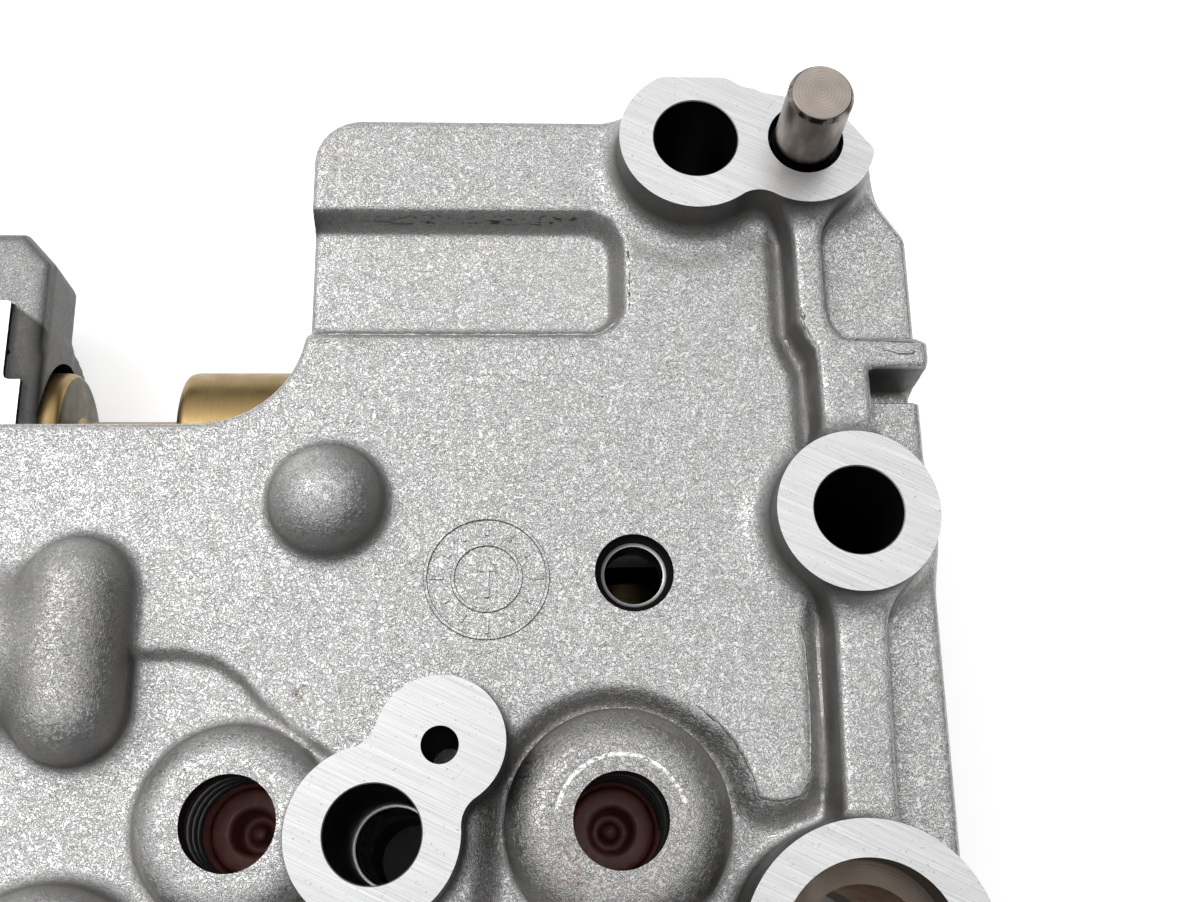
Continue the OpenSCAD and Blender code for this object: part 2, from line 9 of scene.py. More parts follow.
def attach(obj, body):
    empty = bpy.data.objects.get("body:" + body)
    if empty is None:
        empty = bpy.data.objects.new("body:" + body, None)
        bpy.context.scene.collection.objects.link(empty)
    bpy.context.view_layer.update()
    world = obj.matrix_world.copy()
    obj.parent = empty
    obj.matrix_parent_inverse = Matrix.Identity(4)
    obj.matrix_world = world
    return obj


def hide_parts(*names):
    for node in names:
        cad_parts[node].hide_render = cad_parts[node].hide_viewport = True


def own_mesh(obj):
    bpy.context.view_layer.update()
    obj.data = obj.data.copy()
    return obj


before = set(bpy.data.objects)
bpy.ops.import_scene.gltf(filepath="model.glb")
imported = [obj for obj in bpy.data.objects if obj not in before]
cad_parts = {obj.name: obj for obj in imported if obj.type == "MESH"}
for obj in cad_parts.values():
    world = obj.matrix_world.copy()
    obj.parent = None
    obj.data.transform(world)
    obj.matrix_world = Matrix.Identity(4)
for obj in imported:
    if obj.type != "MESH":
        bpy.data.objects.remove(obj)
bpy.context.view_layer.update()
MM = 0.001

# The camera of the photograph: 100 mm over the plane of the boss tops, tilted 18 degrees.
camera = bpy.data.objects.new("camera", bpy.data.cameras.new("camera"))
camera.data.sensor_fit = "HORIZONTAL"
camera.data.sensor_width = 36.0
camera.data.lens = 43.5
camera.data.clip_start = 0.004
camera.matrix_world = Matrix((
    (0.99857, 0.00300, -0.05331, 0.06917),
    (-0.01933, 0.95101, -0.30856, 0.00010),
    (0.04978, 0.30915, 0.94971, 0.14400),
    (0.0, 0.0, 0.0, 1.0)))
bpy.context.scene.collection.objects.link(camera)
bpy.context.scene.camera = camera

# Heights of the stack in millimetres, as in the CAD.
PART_Z, FACE_Z, RIB_Z, BOSS_Z = 19.5, 39.5, 41.7, 44.0
LOWER_T = 18.0
# The right-hand side and the back edge of the plan.
SIDE_X, BACK_Y = 100.0, 62.5
# The castings are held just inside the box of the CAD on the plan.
BOX_LOW, BOX_HIGH = (-99.999, -62.499, -9.0), (100.949, 63.849, 60.0)


def at(u, v):
    """A place on the plan, as insets from the back right corner."""
    return (SIDE_X - u, BACK_Y - v)


def plan(*insets):
    return [at(*p) for p in insets]


MID, TOP, PIN = at(6.5, 34.4), at(17.2, 4.1), at(8.5, 4.1)
SLEEVE, VENT, PORT, RING = at(40.9, 56.6), at(36.5, 50.8), at(7.8, 64.8), at(22.6, 37.9)
PLAIN = [MID, (93.5, -54.9), (64.0, -54.9), (-9.5, -54.9), (-92.5, -54.9), (-92.5, 50.1), (-18.5, 50.1),
         (-36.5, 0.1)]
DAMPERS = [at(24.2, 55.9), at(50.9, 55.6), at(62.7, 67.1)]
ROOFS = [41.0, 39.7, 41.0]
# Domes over the dampers: place, top, radius, rounding of the edge, fillet at the foot.
DOMES = [(DAMPERS[0], 43.0, 8.0, 3.4, 0.7), (DAMPERS[1], 41.7, 6.9, 2.6, 1.2),
         (DAMPERS[2], 43.0, 7.8, 3.3, 1.8)]
BALLS = [at(45.3, 32.4), (-48.0, 22.5), (28.0, -24.5)]
OVALS = [at(62.8, 43.25), (-72.0, -10.5)]
JOINT_BOLTS = [(66.5, 30.1), (66.5, -27.9), (90.5, -29.9), (-6.5, 28.1), (-6.5, -27.9), (-51.5, -31.9),
               (-56.5, 28.1), (-90.5, 2.5)]
SPOOL_X = [78.3, 49.0, 35.5, 22.0, 8.5]
VALVE_Y, VALVE_Z, VALVE_R, BORE_R = 44.5, 8.76, 7.2, 7.24
SPOOL_Z, SPOOL_BORE_R = 11.5, 4.5
# Radii of the holes in the castings.
SCREW_R, MOUTH_R, SEAT_R, VENT_R, RING_R = 3.3, 3.39, 4.32, 1.3, 2.2
DAMPER_R, DOME_HOLE_R, PIN_SEAT_R, PIN_HOLE_R = 5.0, 3.3, 2.62, 3.0
VALVE_AXIS, SPOOL_AXIS = (0, VALVE_Y, VALVE_Z), (0, 0, SPOOL_Z)
# The lug of the selector valve: its ends, its top, the top of the barrel in it and its machined pads.
LUG_LEFT, LUG_RIGHT, LUG_TOP, BARREL_TOP, PAD_Z = 7.0, 25.0, 17.2, 16.9, 13.0


# Distance functions in millimetres. They take arrays that broadcast, so one function serves a grid or a list
# of points.

def smin(a, b, k):
    """The smaller of two distances, with a fillet k wide."""
    h = np.maximum(k - np.abs(a - b), 0.0)
    return np.minimum(a, b) - h * h / (4.0 * k)


def smax(a, b, k):
    return -smin(-a, -b, k)


def circle(x, y, c, r):
    return np.hypot(x - c[0], y - c[1]) - r


def polygon(x, y, pts):
    """Signed distance to a closed polygon on the plan."""
    d = None
    inside = np.zeros(np.broadcast(x, y).shape, bool)
    n = len(pts)
    for i in range(n):
        ax, ay = pts[i]
        bx, by = pts[(i + 1) % n]
        ex, ey = bx - ax, by - ay
        px, py = x - ax, y - ay
        t = np.clip((px * ex + py * ey) / (ex * ex + ey * ey), 0.0, 1.0)
        q = (px - ex * t) ** 2 + (py - ey * t) ** 2
        d = q if d is None else np.minimum(d, q)
        if ay != by:
            inside ^= ((ay > y) != (by > y)) & (x < ex * (y - ay) / ey + ax)
    d = np.sqrt(d)
    return np.where(inside, -d, d)


def bar(x, y, a, b, w):
    """Straight bar with round ends between two places, w wide."""
    ex, ey = b[0] - a[0], b[1] - a[1]
    t = np.clip(((x - a[0]) * ex + (y - a[1]) * ey) / (ex * ex + ey * ey), 0.0, 1.0)
    return np.hypot(x - a[0] - ex * t, y - a[1] - ey * t) - w / 2


def arc(c, r, a, b, n=12):
    return [(c[0] + r * math.cos(math.radians(a + (b - a) * i / n)),
             c[1] + r * math.sin(math.radians(a + (b - a) * i / n))) for i in range(n + 1)]


def outline():
    """Plan of the housings, with the selector window in the back edge."""
    back_left = 58.5
    left, right, front = 8.5, 52.5, 36.5
    corner, inner, lip = 7.0, 8.0, 3.8
    return (arc((SIDE_X - corner, corner - BACK_Y), corner, -90, 0) + plan((0, 10.4), (6.6, 0))
            + arc((right + lip, BACK_Y - lip), lip, 90, 180)
            + arc((right - inner, front + inner), inner, 0, -90)
            + arc((left + inner, front + inner), inner, -90, -180)
            + arc((left - lip, back_left - lip), lip, 0, 90)
            + arc((corner - SIDE_X, back_left - corner), corner, 90, 180)
            + arc((corner - SIDE_X, corner - BACK_Y), corner, 180, 270))


OUTLINE = outline()
LOW = (plan((10.5, 6), (10.5, 18.8), (10.1, 20.2), (9.25, 22.2), (9.15, 25), (9.1, 38), (9.3, 42), (9.5, 53),
            (10.4, 54.8), (12.6, 55.6), (14.2, 55.2))
       + arc(DAMPERS[0], 9.3, 12, 36, 4) + arc(DAMPERS[0], 8.75, 62, 150, 12)
       + plan((33, 53), (34, 65.5), (28, 69), (18, 69), (12, 76.5), (6, 76.5), (6, 6)))
DISH = plan((22.6, -4), (22.6, 9.6), (20.6, 11.6), (18, 12.4), (15.4, 12.2), (13.4, 10.9), (12, 10.4),
            (10.4, 10.6), (9.0, 9), (9.0, -4))
PIT = plan((4.6, 21), (-4, 21), (-4, 24.3), (4.6, 24.3))
POCKET = plan((56, 8.7), (25.4, 8.7), (24.0, 9.4), (23.3, 10.8), (23.3, 16.6), (23.9, 17.7), (25.2, 18.4),
              (56, 18.4))
FIELD = plan((70, 43.4), (58, 43.6), (55.4, 43.6), (52.9, 44.2), (51.0, 45.5), (49.4, 47.3), (47.3, 49.1),
             (45, 50.6), (42, 53), (42, 62), (52, 74), (70, 74))
CORNER = plan((8.3, 5), (4, 5), (0.1, 11.0), (0.1, 21), (8.3, 21))
# Levels of the cast face: region, height and width of the soft edge, in the order in which they are laid.
LEVELS = [(DISH, 39.25, 3.0), (LOW, 37.6, 2.6), (PIT, 36.6, 0.7), (POCKET, 37.2, 1.7), (FIELD, 38.5, 1.1),
          (CORNER, 40.0, 0.6)]
RIB_1 = plan((9.5, 8), (9.5, 18.5), (8.2, 20.9), (8, 31), (4.3, 31), (4.3, 22.4), (-0.2, 22.4), (-0.4, 21.8),
             (-0.4, 20.4), (0.4, 20), (6, 20), (7.0, 18.8), (7.25, 17.5), (7.25, 8))
RIB_2 = plan((8.1, 38), (4.3, 38), (4.8, 60), (8.6, 60))


def joined(x, y, a, ra, b, rb, waist):
    """Two bosses joined by a waist with hollow sides."""
    a, b = np.array(a), np.array(b)
    d = float(np.hypot(*(b - a)))
    p, q = ra + waist, rb + waist
    along = (d * d + p * p - q * q) / (2 * d)
    e = (b - a) / d
    side = math.sqrt(p * p - along * along) * np.array([-e[1], e[0]])
    left, right = a + along * e + side, a + along * e - side
    web = polygon(x, y, [tuple(a), tuple(right), tuple(b), tuple(left)])
    hollow = -np.minimum(circle(x, y, left, waist), circle(x, y, right, waist))
    # past the web only the two circles count
    web = np.where(web > 0.0, 99.0, np.maximum(web, hollow))
    return np.minimum(np.minimum(circle(x, y, a, ra), circle(x, y, b, rb)), web)


def top_boss(x, y):
    """The double boss at the back edge, its pin half cut back as the casting is."""
    back = plan((60, 30), (-4, 30), (-4, 15), (3.2, 4.8), (4.86, 2.6), (6.3, 1), (8.7, 0.54), (11.7, 0),
                (14, -1.35), (60, -1.35))
    return np.maximum(joined(x, y, TOP, 6.0, PIN, 5.5, 2.4), polygon(x, y, back))


def step(d, w):
    """1 inside a region, 0 outside, with a soft edge w wide."""
    t = np.clip(0.5 - d / w, 0.0, 1.0)
    return t * t * (3.0 - 2.0 * t)


def upper_cast(x, y, z):
    """The upper casting before it is machined: levels, ribs, domes and over-long bosses, all with fillets."""
    level = FACE_Z + 0.0 * x + 0.0 * y
    for region, place, edge in LEVELS:
        level = level + (place - level) * step(polygon(x, y, region), edge)
    d = smax(polygon(x, y, OUTLINE), z - level, 0.7)
    # ribs with leaning walls; the two at the right lean on their left side only
    lean = (z - RIB_Z) * 0.10
    for pts in (RIB_1, RIB_2):
        rib = smax(polygon(x - lean, y, pts) + lean, z - RIB_Z, 0.6)
        d = smin(d, smax(rib, 36.4 - z, 0.6), 0.7)
    for a, b in zip(PLAIN[1:6], PLAIN[2:7]):
        rib = smax(bar(x, y, a, b, 4.0) + lean, z - RIB_Z, 0.9)
        d = smin(d, rib, 1.4)
    # domes, bulges and the lying drum
    for c, top, r, edge, foot in DOMES:
        q0, q1 = np.hypot(x - c[0], y - c[1]) - r + edge, z - top + edge
        out = np.hypot(np.maximum(q0, 0.0), np.maximum(q1, 0.0))
        d = smin(d, np.minimum(np.maximum(q0, q1), 0.0) + out - edge, foot)
    for c in BALLS:
        d = smin(d, np.sqrt((x - c[0]) ** 2 + (y - c[1]) ** 2 + (z - 39.6) ** 2) - 4.3, 1.1)
    for c in OVALS:
        yy = y - c[1]
        yy = yy - np.clip(yy, -4.1, 4.1)
        d = smin(d, np.sqrt((x - c[0]) ** 2 + yy ** 2 + (z - 39.4) ** 2) - 4.1, 1.1)
    drum = smax(np.hypot(y - 19.4, z - 36.2) - 6.0, np.abs(x - 28.5) - 7.0, 1.5)
    d = smin(d, drum, 2.0)
    # bosses, left over-long for the cut
    lift = (z - BOSS_Z) * 0.02
    for c in PLAIN:
        d = smin(d, np.maximum(circle(x, y, c, 6.0) + lift, 36.0 - z), 2.6)
    two = joined(x, y, SLEEVE, 5.9, (VENT[0], VENT[1] + 0.25), 4.5, 2.2)
    d = smin(d, np.maximum(two + lift, 36.0 - z), 1.0)
    d = smin(d, circle(x, y, PORT, 8.72) + lift, 1.1)
    d = smin(d, top_boss(x, y) + lift, 2.4)
    return np.maximum(d, z - 45.2)


def lower_cast(x, y, z):
    """The lower casting before it is machined: a thick plate with the lug of the selector valve."""
    d = polygon(x, y, OUTLINE)
    d = smin(d, top_boss(x, y), 1.5) + 0.0 * z
    left, right = LUG_LEFT, LUG_RIGHT
    body = [(left, 43.0), (right, 43.0), (right, 60.4), (22.2, 63.5), (left, 63.5)]
    lug = smax(smax(polygon(x, y, body), z - LUG_TOP, 1.6), 8.5 - z, 1.2)
    barrel = smax(np.hypot(y - VALVE_Y, z - VALVE_Z) - 10.2, x - right, 0.5)
    barrel = smax(smax(barrel, left - x, 0.5), z - BARREL_TOP, 0.8)
    neck = [(left, 34.5), (right, 34.5), (right, 44.5), (left, 44.5)]
    web = smax(polygon(x, y, neck), z - BARREL_TOP, 0.8)
    lug = smin(smin(lug, barrel, 0.6), web, 0.6)
    lug = np.maximum(lug, 0.2 - z)
    pads = np.minimum(polygon(x, y, [(left, 35.0), (21.9, 35.0), (21.9, 55.9), (left, 55.9)]),
                      polygon(x, y, [(left, 35.0), (23.5, 35.0), (23.5, 48.1), (left, 48.1)]))
    lug = np.minimum(lug, np.maximum(pads, PAD_Z - z))
    d = smin(d, lug, 1.2)
    return np.maximum(np.maximum(d, z - 19.2), -1.2 - z)


def surface(field, xs, ys, zs):
    """Surface net of a distance field on a grid with uneven spacing, drawn to the true surface."""
    xs, ys, zs = (np.asarray(a, np.float32) for a in (xs, ys, zs))
    f = np.broadcast_to(field(xs[:, None, None], ys[None, :, None], zs[None, None, :]),
                        (len(xs), len(ys), len(zs))).astype(np.float32)
    s = f < 0
    corners = [(i, j, k) for i in (0, 1) for j in (0, 1) for k in (0, 1)]
    nx, ny, nz = f.shape
    count = sum(s[i:nx - 1 + i, j:ny - 1 + j, k:nz - 1 + k].astype(np.int8) for i, j, k in corners)
    cells = np.argwhere((count > 0) & (count < 8))
    index = np.full((nx - 1, ny - 1, nz - 1), -1, np.int64)
    index[tuple(cells.T)] = np.arange(len(cells))
    grid = (xs, ys, zs)
    total, hits = np.zeros((len(cells), 3)), np.zeros(len(cells))
    for a in corners:
        for axis in range(3):
            if a[axis]:
                continue
            b = tuple(1 if n == axis else a[n] for n in range(3))
            ia, ib = cells + a, cells + b
            fa, fb = f[tuple(ia.T)], f[tuple(ib.T)]
            cross = (fa < 0) != (fb < 0)
            t = np.where(cross, fa / np.where(cross, fa - fb, 1.0), 0.0)
            pa = np.stack([grid[n][ia[:, n]] for n in range(3)], 1)
            pb = np.stack([grid[n][ib[:, n]] for n in range(3)], 1)
            total += np.where(cross[:, None], pa + (pb - pa) * t[:, None], 0.0)
            hits += cross
    points = total / hits[:, None]
    quads = []
    for axis in range(3):
        hi = (slice(1, None),) * 3
        lo = tuple(slice(0, -1) if n == axis else hi[n] for n in range(3))
        e = np.argwhere(s[lo] != s[hi]) + [0 if n == axis else 1 for n in range(3)]
        e = e[(e < index.shape).all(1)]
        # cells around the edge, in turning order
        du, dv = np.eye(3, dtype=int)[[n for n in range(3) if n != axis]]
        ring = [index[tuple((e - back).T)] for back in (du + dv, dv, 0 * du, du)]
        out = s[tuple(e.T)]
        if axis == 1:
            out = ~out
        q = np.stack(ring, 1)
        q[~out] = q[~out][:, ::-1]
        quads.append(q)
    quads = np.concatenate(quads)
    h = 0.02
    for _ in range(2):
        x, y, z = points.T
        d = field(x, y, z)
        g = np.stack([field(x + h, y, z) - d, field(x, y + h, z) - d, field(x, y, z + h) - d], 1) / h
        move = -(d / np.maximum((g * g).sum(1), 0.25))[:, None] * g
        size = np.linalg.norm(move, axis=1, keepdims=True)
        points = points + move * np.minimum(1.0, 0.25 / np.maximum(size, 1e-9))
    return points, quads


def mesh_object(name, points, faces):
    """A mesh from arrays, held inside the plan of the CAD box."""
    mesh = bpy.data.meshes.new(name)
    points = np.clip(points, BOX_LOW, BOX_HIGH).astype(np.float32) * MM
    faces = np.asarray(faces, np.int32)
    mesh.vertices.add(len(points))
    mesh.vertices.foreach_set("co", points.ravel())
    mesh.loops.add(faces.size)
    mesh.loops.foreach_set("vertex_index", faces.ravel())
    mesh.polygons.add(len(faces))
    mesh.polygons.foreach_set("loop_start", np.arange(0, faces.size, faces.shape[1], dtype=np.int32))
    mesh.update(calc_edges=True)
    mesh.validate()
    obj = bpy.data.objects.new(name, mesh)
    bpy.context.scene.collection.objects.link(obj)
    return obj


def applied(obj):
    """Replace the object's mesh by the result of its modifiers."""
    bpy.context.view_layer.update()
    done = bpy.data.meshes.new_from_object(obj.evaluated_get(bpy.context.evaluated_depsgraph_get()))
    obj.modifiers.clear()
    obj.data = done
    return obj


def thin(obj, triangles):
    """Bring a mesh down to a number of triangles."""
    have = sum(len(p.vertices) - 2 for p in obj.data.polygons)
    if have > triangles:
        m = obj.modifiers.new("thin", "DECIMATE")
        m.ratio = triangles / have
        applied(obj)


def lathe(bm, profile, place=(0, 0, 0), axis=(0, 0, 1), n=96, closed=False):
    """Turn a profile of (radius, height) points round an axis. Points at radius 0 become poles."""
    rot = Vector((0, 0, 1)).rotation_difference(Vector(axis)).to_matrix()
    base = Vector(place)
    turns = [2 * math.pi * i / n for i in range(n)]
    rings = []
    for r, h in profile:
        ring = [(0, 0, h)] if r <= 1e-9 else [(r * math.cos(a), r * math.sin(a), h) for a in turns]
        rings.append([bm.verts.new((base + rot @ Vector(v)) * MM) for v in ring])
    pairs = list(zip(rings, rings[1:]))
    if closed:
        pairs.append((rings[-1], rings[0]))
    for a, b in pairs:
        for i in range(n):
            j = (i + 1) % n
            if len(a) == 1 and len(b) == 1:
                continue
            if len(a) == 1:
                bm.faces.new((a[0], b[j], b[i]))
            elif len(b) == 1:
                bm.faces.new((a[i], a[j], b[0]))
            else:
                bm.faces.new((a[i], a[j], b[j], b[i]))


def hole(bm, place, z, *steps, n=96):
    """An upright hole from height z. Each step is a radius and the height at which it ends."""
    profile = [(0, z)]
    for r, end in steps:
        profile += [(r, z), (r, end)]
        z = end
    lathe(bm, profile + [(0, z)], (*place, 0), n=n)


def block(bm, low, high):
    v = [bm.verts.new((x * MM, y * MM, z * MM)) for z in (low[2], high[2])
         for x, y in ((low[0], low[1]), (high[0], low[1]), (high[0], high[1]), (low[0], high[1]))]
    for f in ((3, 2, 1, 0), (4, 5, 6, 7), (0, 1, 5, 4), (1, 2, 6, 5), (2, 3, 7, 6), (3, 0, 4, 7)):
        bm.faces.new([v[i] for i in f])


def prism(bm, ring, low, high, taper=0.06):
    """An upright prism over a ring of places, its top smaller by a share."""
    mid = np.mean(ring, axis=0)
    a = [bm.verts.new((x * MM, y * MM, low * MM)) for x, y in ring]
    small = [(x + (mid[0] - x) * taper, y + (mid[1] - y) * taper) for x, y in ring]
    b = [bm.verts.new((x * MM, y * MM, high * MM)) for x, y in small]
    bm.faces.new(a[::-1])
    bm.faces.new(b)
    for i in range(len(ring)):
        j = (i + 1) % len(ring)
        bm.faces.new((a[i], a[j], b[j], b[i]))


def built(name, make):
    """A new object from a function that fills a bmesh."""
    bm = bmesh.new()
    make(bm)
    bmesh.ops.recalc_face_normals(bm, faces=bm.faces)
    mesh = bpy.data.meshes.new(name)
    bm.to_mesh(mesh)
    bm.free()
    obj = bpy.data.objects.new(name, mesh)
    bpy.context.scene.collection.objects.link(obj)
    return obj


def cut(obj, make):
    """Machine an object with a cutter made by a function."""
    cutter = built("cutter", make)
    m = obj.modifiers.new("cut", "BOOLEAN")
    m.operation = "DIFFERENCE"
    m.solver = "MANIFOLD"
    m.object = cutter
    applied(obj)
    bpy.data.objects.remove(cutter)


def smooth(obj, angle=38.0):
    obj.data.shade_smooth()
    obj.data.set_sharp_from_angle(angle=math.radians(angle))


# Materials. Each works in millimetres of the object's own coordinates.

def fill(node, values):
    """Set a node's inputs by name."""
    for name, value in values.items():
        node.inputs[name].default_value = value


def material(name, colour, metallic, roughness):
    mat = bpy.data.materials.new(name)
    mat.use_nodes = True
    shader = mat.node_tree.nodes["Principled BSDF"]
    fill(shader, {"Base Color": (*colour, 1.0), "Metallic": metallic, "Roughness": roughness})
    return mat


class Net:
    """Short hand for a material's nodes."""

    def __init__(self, mat):
        self.tree = mat.node_tree
        self.shader = self.tree.nodes["Principled BSDF"]
        self.coord = self.tree.nodes.new("ShaderNodeTexCoord").outputs["Object"]

    def put(self, socket, value):
        if isinstance(value, bpy.types.NodeSocket):
            self.tree.links.new(value, socket)
        elif value is not None:
            socket.default_value = value

    def mapped(self, scale, rotation=(0, 0, 0), place=(0, 0, 0)):
        n = self.tree.nodes.new("ShaderNodeMapping")
        n.vector_type = "TEXTURE"
        fill(n, {"Location": [p * MM for p in place], "Scale": [s * MM for s in scale],
                 "Rotation": [math.radians(a) for a in rotation]})
        self.tree.links.new(self.coord, n.inputs["Vector"])
        return n.outputs["Vector"]

    def noise(self, vector, detail=2.0, rough=0.5, distortion=0.0):
        n = self.tree.nodes.new("ShaderNodeTexNoise")
        fill(n, {"Scale": 1.0, "Detail": detail, "Roughness": rough, "Distortion": distortion})
        self.tree.links.new(vector, n.inputs["Vector"])
        return n.outputs["Fac"]

    def math(self, op, a, b=0.5):
        n = self.tree.nodes.new("ShaderNodeMath")
        n.operation = op
        self.put(n.inputs[0], a)
        self.put(n.inputs[1], b)
        return n.outputs[0]

    def span(self, value, low, high, to_low=0.0, to_high=1.0):
        n = self.tree.nodes.new("ShaderNodeMapRange")
        fill(n, {"From Min": low, "From Max": high, "To Min": to_low, "To Max": to_high})
        self.tree.links.new(value, n.inputs["Value"])
        return n.outputs["Result"]

    def fall(self, value, low, high):
        """1 under low, 0 over high."""
        return self.span(value, low, high, 1.0, 0.0)

    def places(self):
        """X, Y and Z in millimetres."""
        n = self.tree.nodes.new("ShaderNodeSeparateXYZ")
        self.tree.links.new(self.mapped((1, 1, 1)), n.inputs[0])
        return n.outputs

    def band(self, value, middle, half):
        """1 near a value, 0 away from it."""
        away = self.math("ABSOLUTE", self.math("SUBTRACT", value, middle))
        return self.fall(away, half * 0.5, half)

    def times(self, *values):
        out = values[0]
        for v in values[1:]:
            out = self.math("MULTIPLY", out, v)
        return out

    def mix(self, factor, a, b):
        n = self.tree.nodes.new("ShaderNodeMix")
        n.data_type = "RGBA"
        self.put(n.inputs["Factor"], factor)
        self.put(n.inputs["A"], (*a, 1.0) if isinstance(a, tuple) else a)
        self.put(n.inputs["B"], (*b, 1.0) if isinstance(b, tuple) else b)
        return n.outputs["Result"]

    def bump(self, height, strength, distance):
        n = self.tree.nodes.new("ShaderNodeBump")
        fill(n, {"Strength": strength, "Distance": distance * MM})
        self.put(n.inputs["Height"], height)
        return n.outputs["Normal"]

    def off_axis(self, x, y, place):
        """Distance from an upright axis in millimetres, and the offsets along X and Y."""
        dx, dy = self.math("SUBTRACT", x, place[0]), self.math("SUBTRACT", y, place[1])
        square = self.math("ADD", self.times(dx, dx), self.times(dy, dy))
        return self.math("SQRT", square), dx, dy

    def colour(self):
        """What the base colour is linked to by now."""
        return self.shader.inputs["Base Color"].links[0].from_socket

    def finish(self, colour=None, roughness=None, normal=None):
        self.put(self.shader.inputs["Base Color"], colour)
        self.put(self.shader.inputs["Roughness"], roughness)
        self.put(self.shader.inputs["Normal"], normal)


def cast_marks(n, base, grey, crumb, places):
    """Chips, stains, rust, painted shade on the first dome, the oval bulge and the trench, and a worn edge
    painted white as a highlight, at places of this part, all on its upper face.
    """
    x, y, z = places
    up = n.span(z, 36.5, 37.0)
    flake = n.noise(n.mapped((0.9, 0.3, 0.3), place=(1, 3, 2)), 2.0, 0.6)
    chip = n.times(n.band(y, 53.9, 0.28), n.band(x, 66.0, 12.0), n.span(flake, 0.54, 0.62))
    gap = n.noise(n.mapped((0.5, 1.3, 0.5), place=(7, 2, 2)), 1.0, 0.5)
    tick = n.times(n.band(x, 77.6, 0.12), n.band(y, 48.3, 5.0), n.span(gap, 0.52, 0.58))
    dash = n.math("ADD", n.times(n.band(x, 69.5, 0.36), n.band(y, 10.7, 0.16)),
                  n.times(n.band(x, 69.3, 0.6), n.band(y, 9.7, 0.12)))
    dark = n.times(up, n.math("MINIMUM", n.math("ADD", n.math("ADD", chip, tick), dash), 1.0))
    base = n.mix(n.times(dark, 0.85), base, (0.075, 0.050, 0.036))
    spot = n.times(n.band(x, 53.15, 0.55), n.band(y, 15.9, 0.7), n.span(crumb, 0.42, 0.52))
    base = n.mix(n.times(up, spot, 0.7), base, (0.24, 0.17, 0.10))

    # painted shade: the first dome and the oval bulge are painted a darker grey than the face
    cx, cy = DAMPERS[0]
    r, _, dy = n.off_axis(x, y, DAMPERS[0])
    under_tops = n.fall(z, 43.6, 43.8)
    dome_shade = n.times(up, n.fall(r, 7.2, 8.4), under_tops, 0.42)
    base = n.mix(dome_shade, base, grey(0.42, 0.012))
    bulge_shade = n.times(up, n.span(z, 40.2, 41.0), under_tops, n.band(x, 37.2, 7.5), n.band(y, 19.2, 7.5), 0.45)
    base = n.mix(bulge_shade, base, grey(0.42, 0.012))

    # painted shade in the trench along the right-hand ribs and behind the first dome
    trench_shade = n.times(n.span(x, 88.6, 89.0), n.fall(x, 94.0, 94.5), n.span(y, 9.5, 10.5))
    trench_shade = n.math("MAXIMUM", trench_shade, n.times(n.fall(r, 9.6, 10.2), n.span(dy, 2.5, 4.5)))
    base = n.mix(n.times(up, n.fall(z, 38.7, 39.3), trench_shade, 0.4), base, grey(0.55, 0.01))

    # rust, and the worn edge round the first damper hole, painted white as a highlight
    rust = n.times(up, n.band(x, cx - 3.6, 1.5), n.band(y, cy - 3.2, 2.8), n.span(crumb, 0.48, 0.60), 0.55)
    base = n.mix(rust, base, (0.26, 0.15, 0.085))
    # the worn edge is smoother, and its white colour is a painted highlight
    worn_edge_highlight = n.times(up, n.band(r, 4.45, 0.18), n.span(dy, 0.4, 1.2), n.span(crumb, 0.38, 0.52), 0.9)
    return n.mix(worn_edge_highlight, base, (1.0, 1.0, 1.0)), worn_edge_highlight


def shaded_walls_mask(n, steep, places):
    """Steep walls, which are smoother where the mould slid and painted darker as shade, and a slope of the
    lug done the same way.
    """
    x, y, z = places
    tilt = n.tree.nodes.new("ShaderNodeSeparateXYZ")
    n.tree.links.new(n.tree.nodes["Texture Coordinate"].outputs["Normal"], tilt.inputs[0])
    # painted shade: the steeper a face, the darker its colour
    smooth_wall_shade = n.fall(n.math("ABSOLUTE", tilt.outputs["Z"]), 0.15, steep)
    # the slope of the lug round the mouth of the selector bore gets the same smooth, darker colour
    slant = n.math("ADD", y, n.times(x, 0.72))
    slope = n.times(n.span(z, 8.0, 9.0), n.fall(z, 19.0, 20.0), n.span(x, 6.9, 7.1), n.fall(x, 26.0, 27.0),
                    n.span(y, 40.0, 41.0), n.fall(y, 55.8, 56.2), n.fall(slant, 71.4, 71.9))
    return n.math("MAXIMUM", smooth_wall_shade, slope)


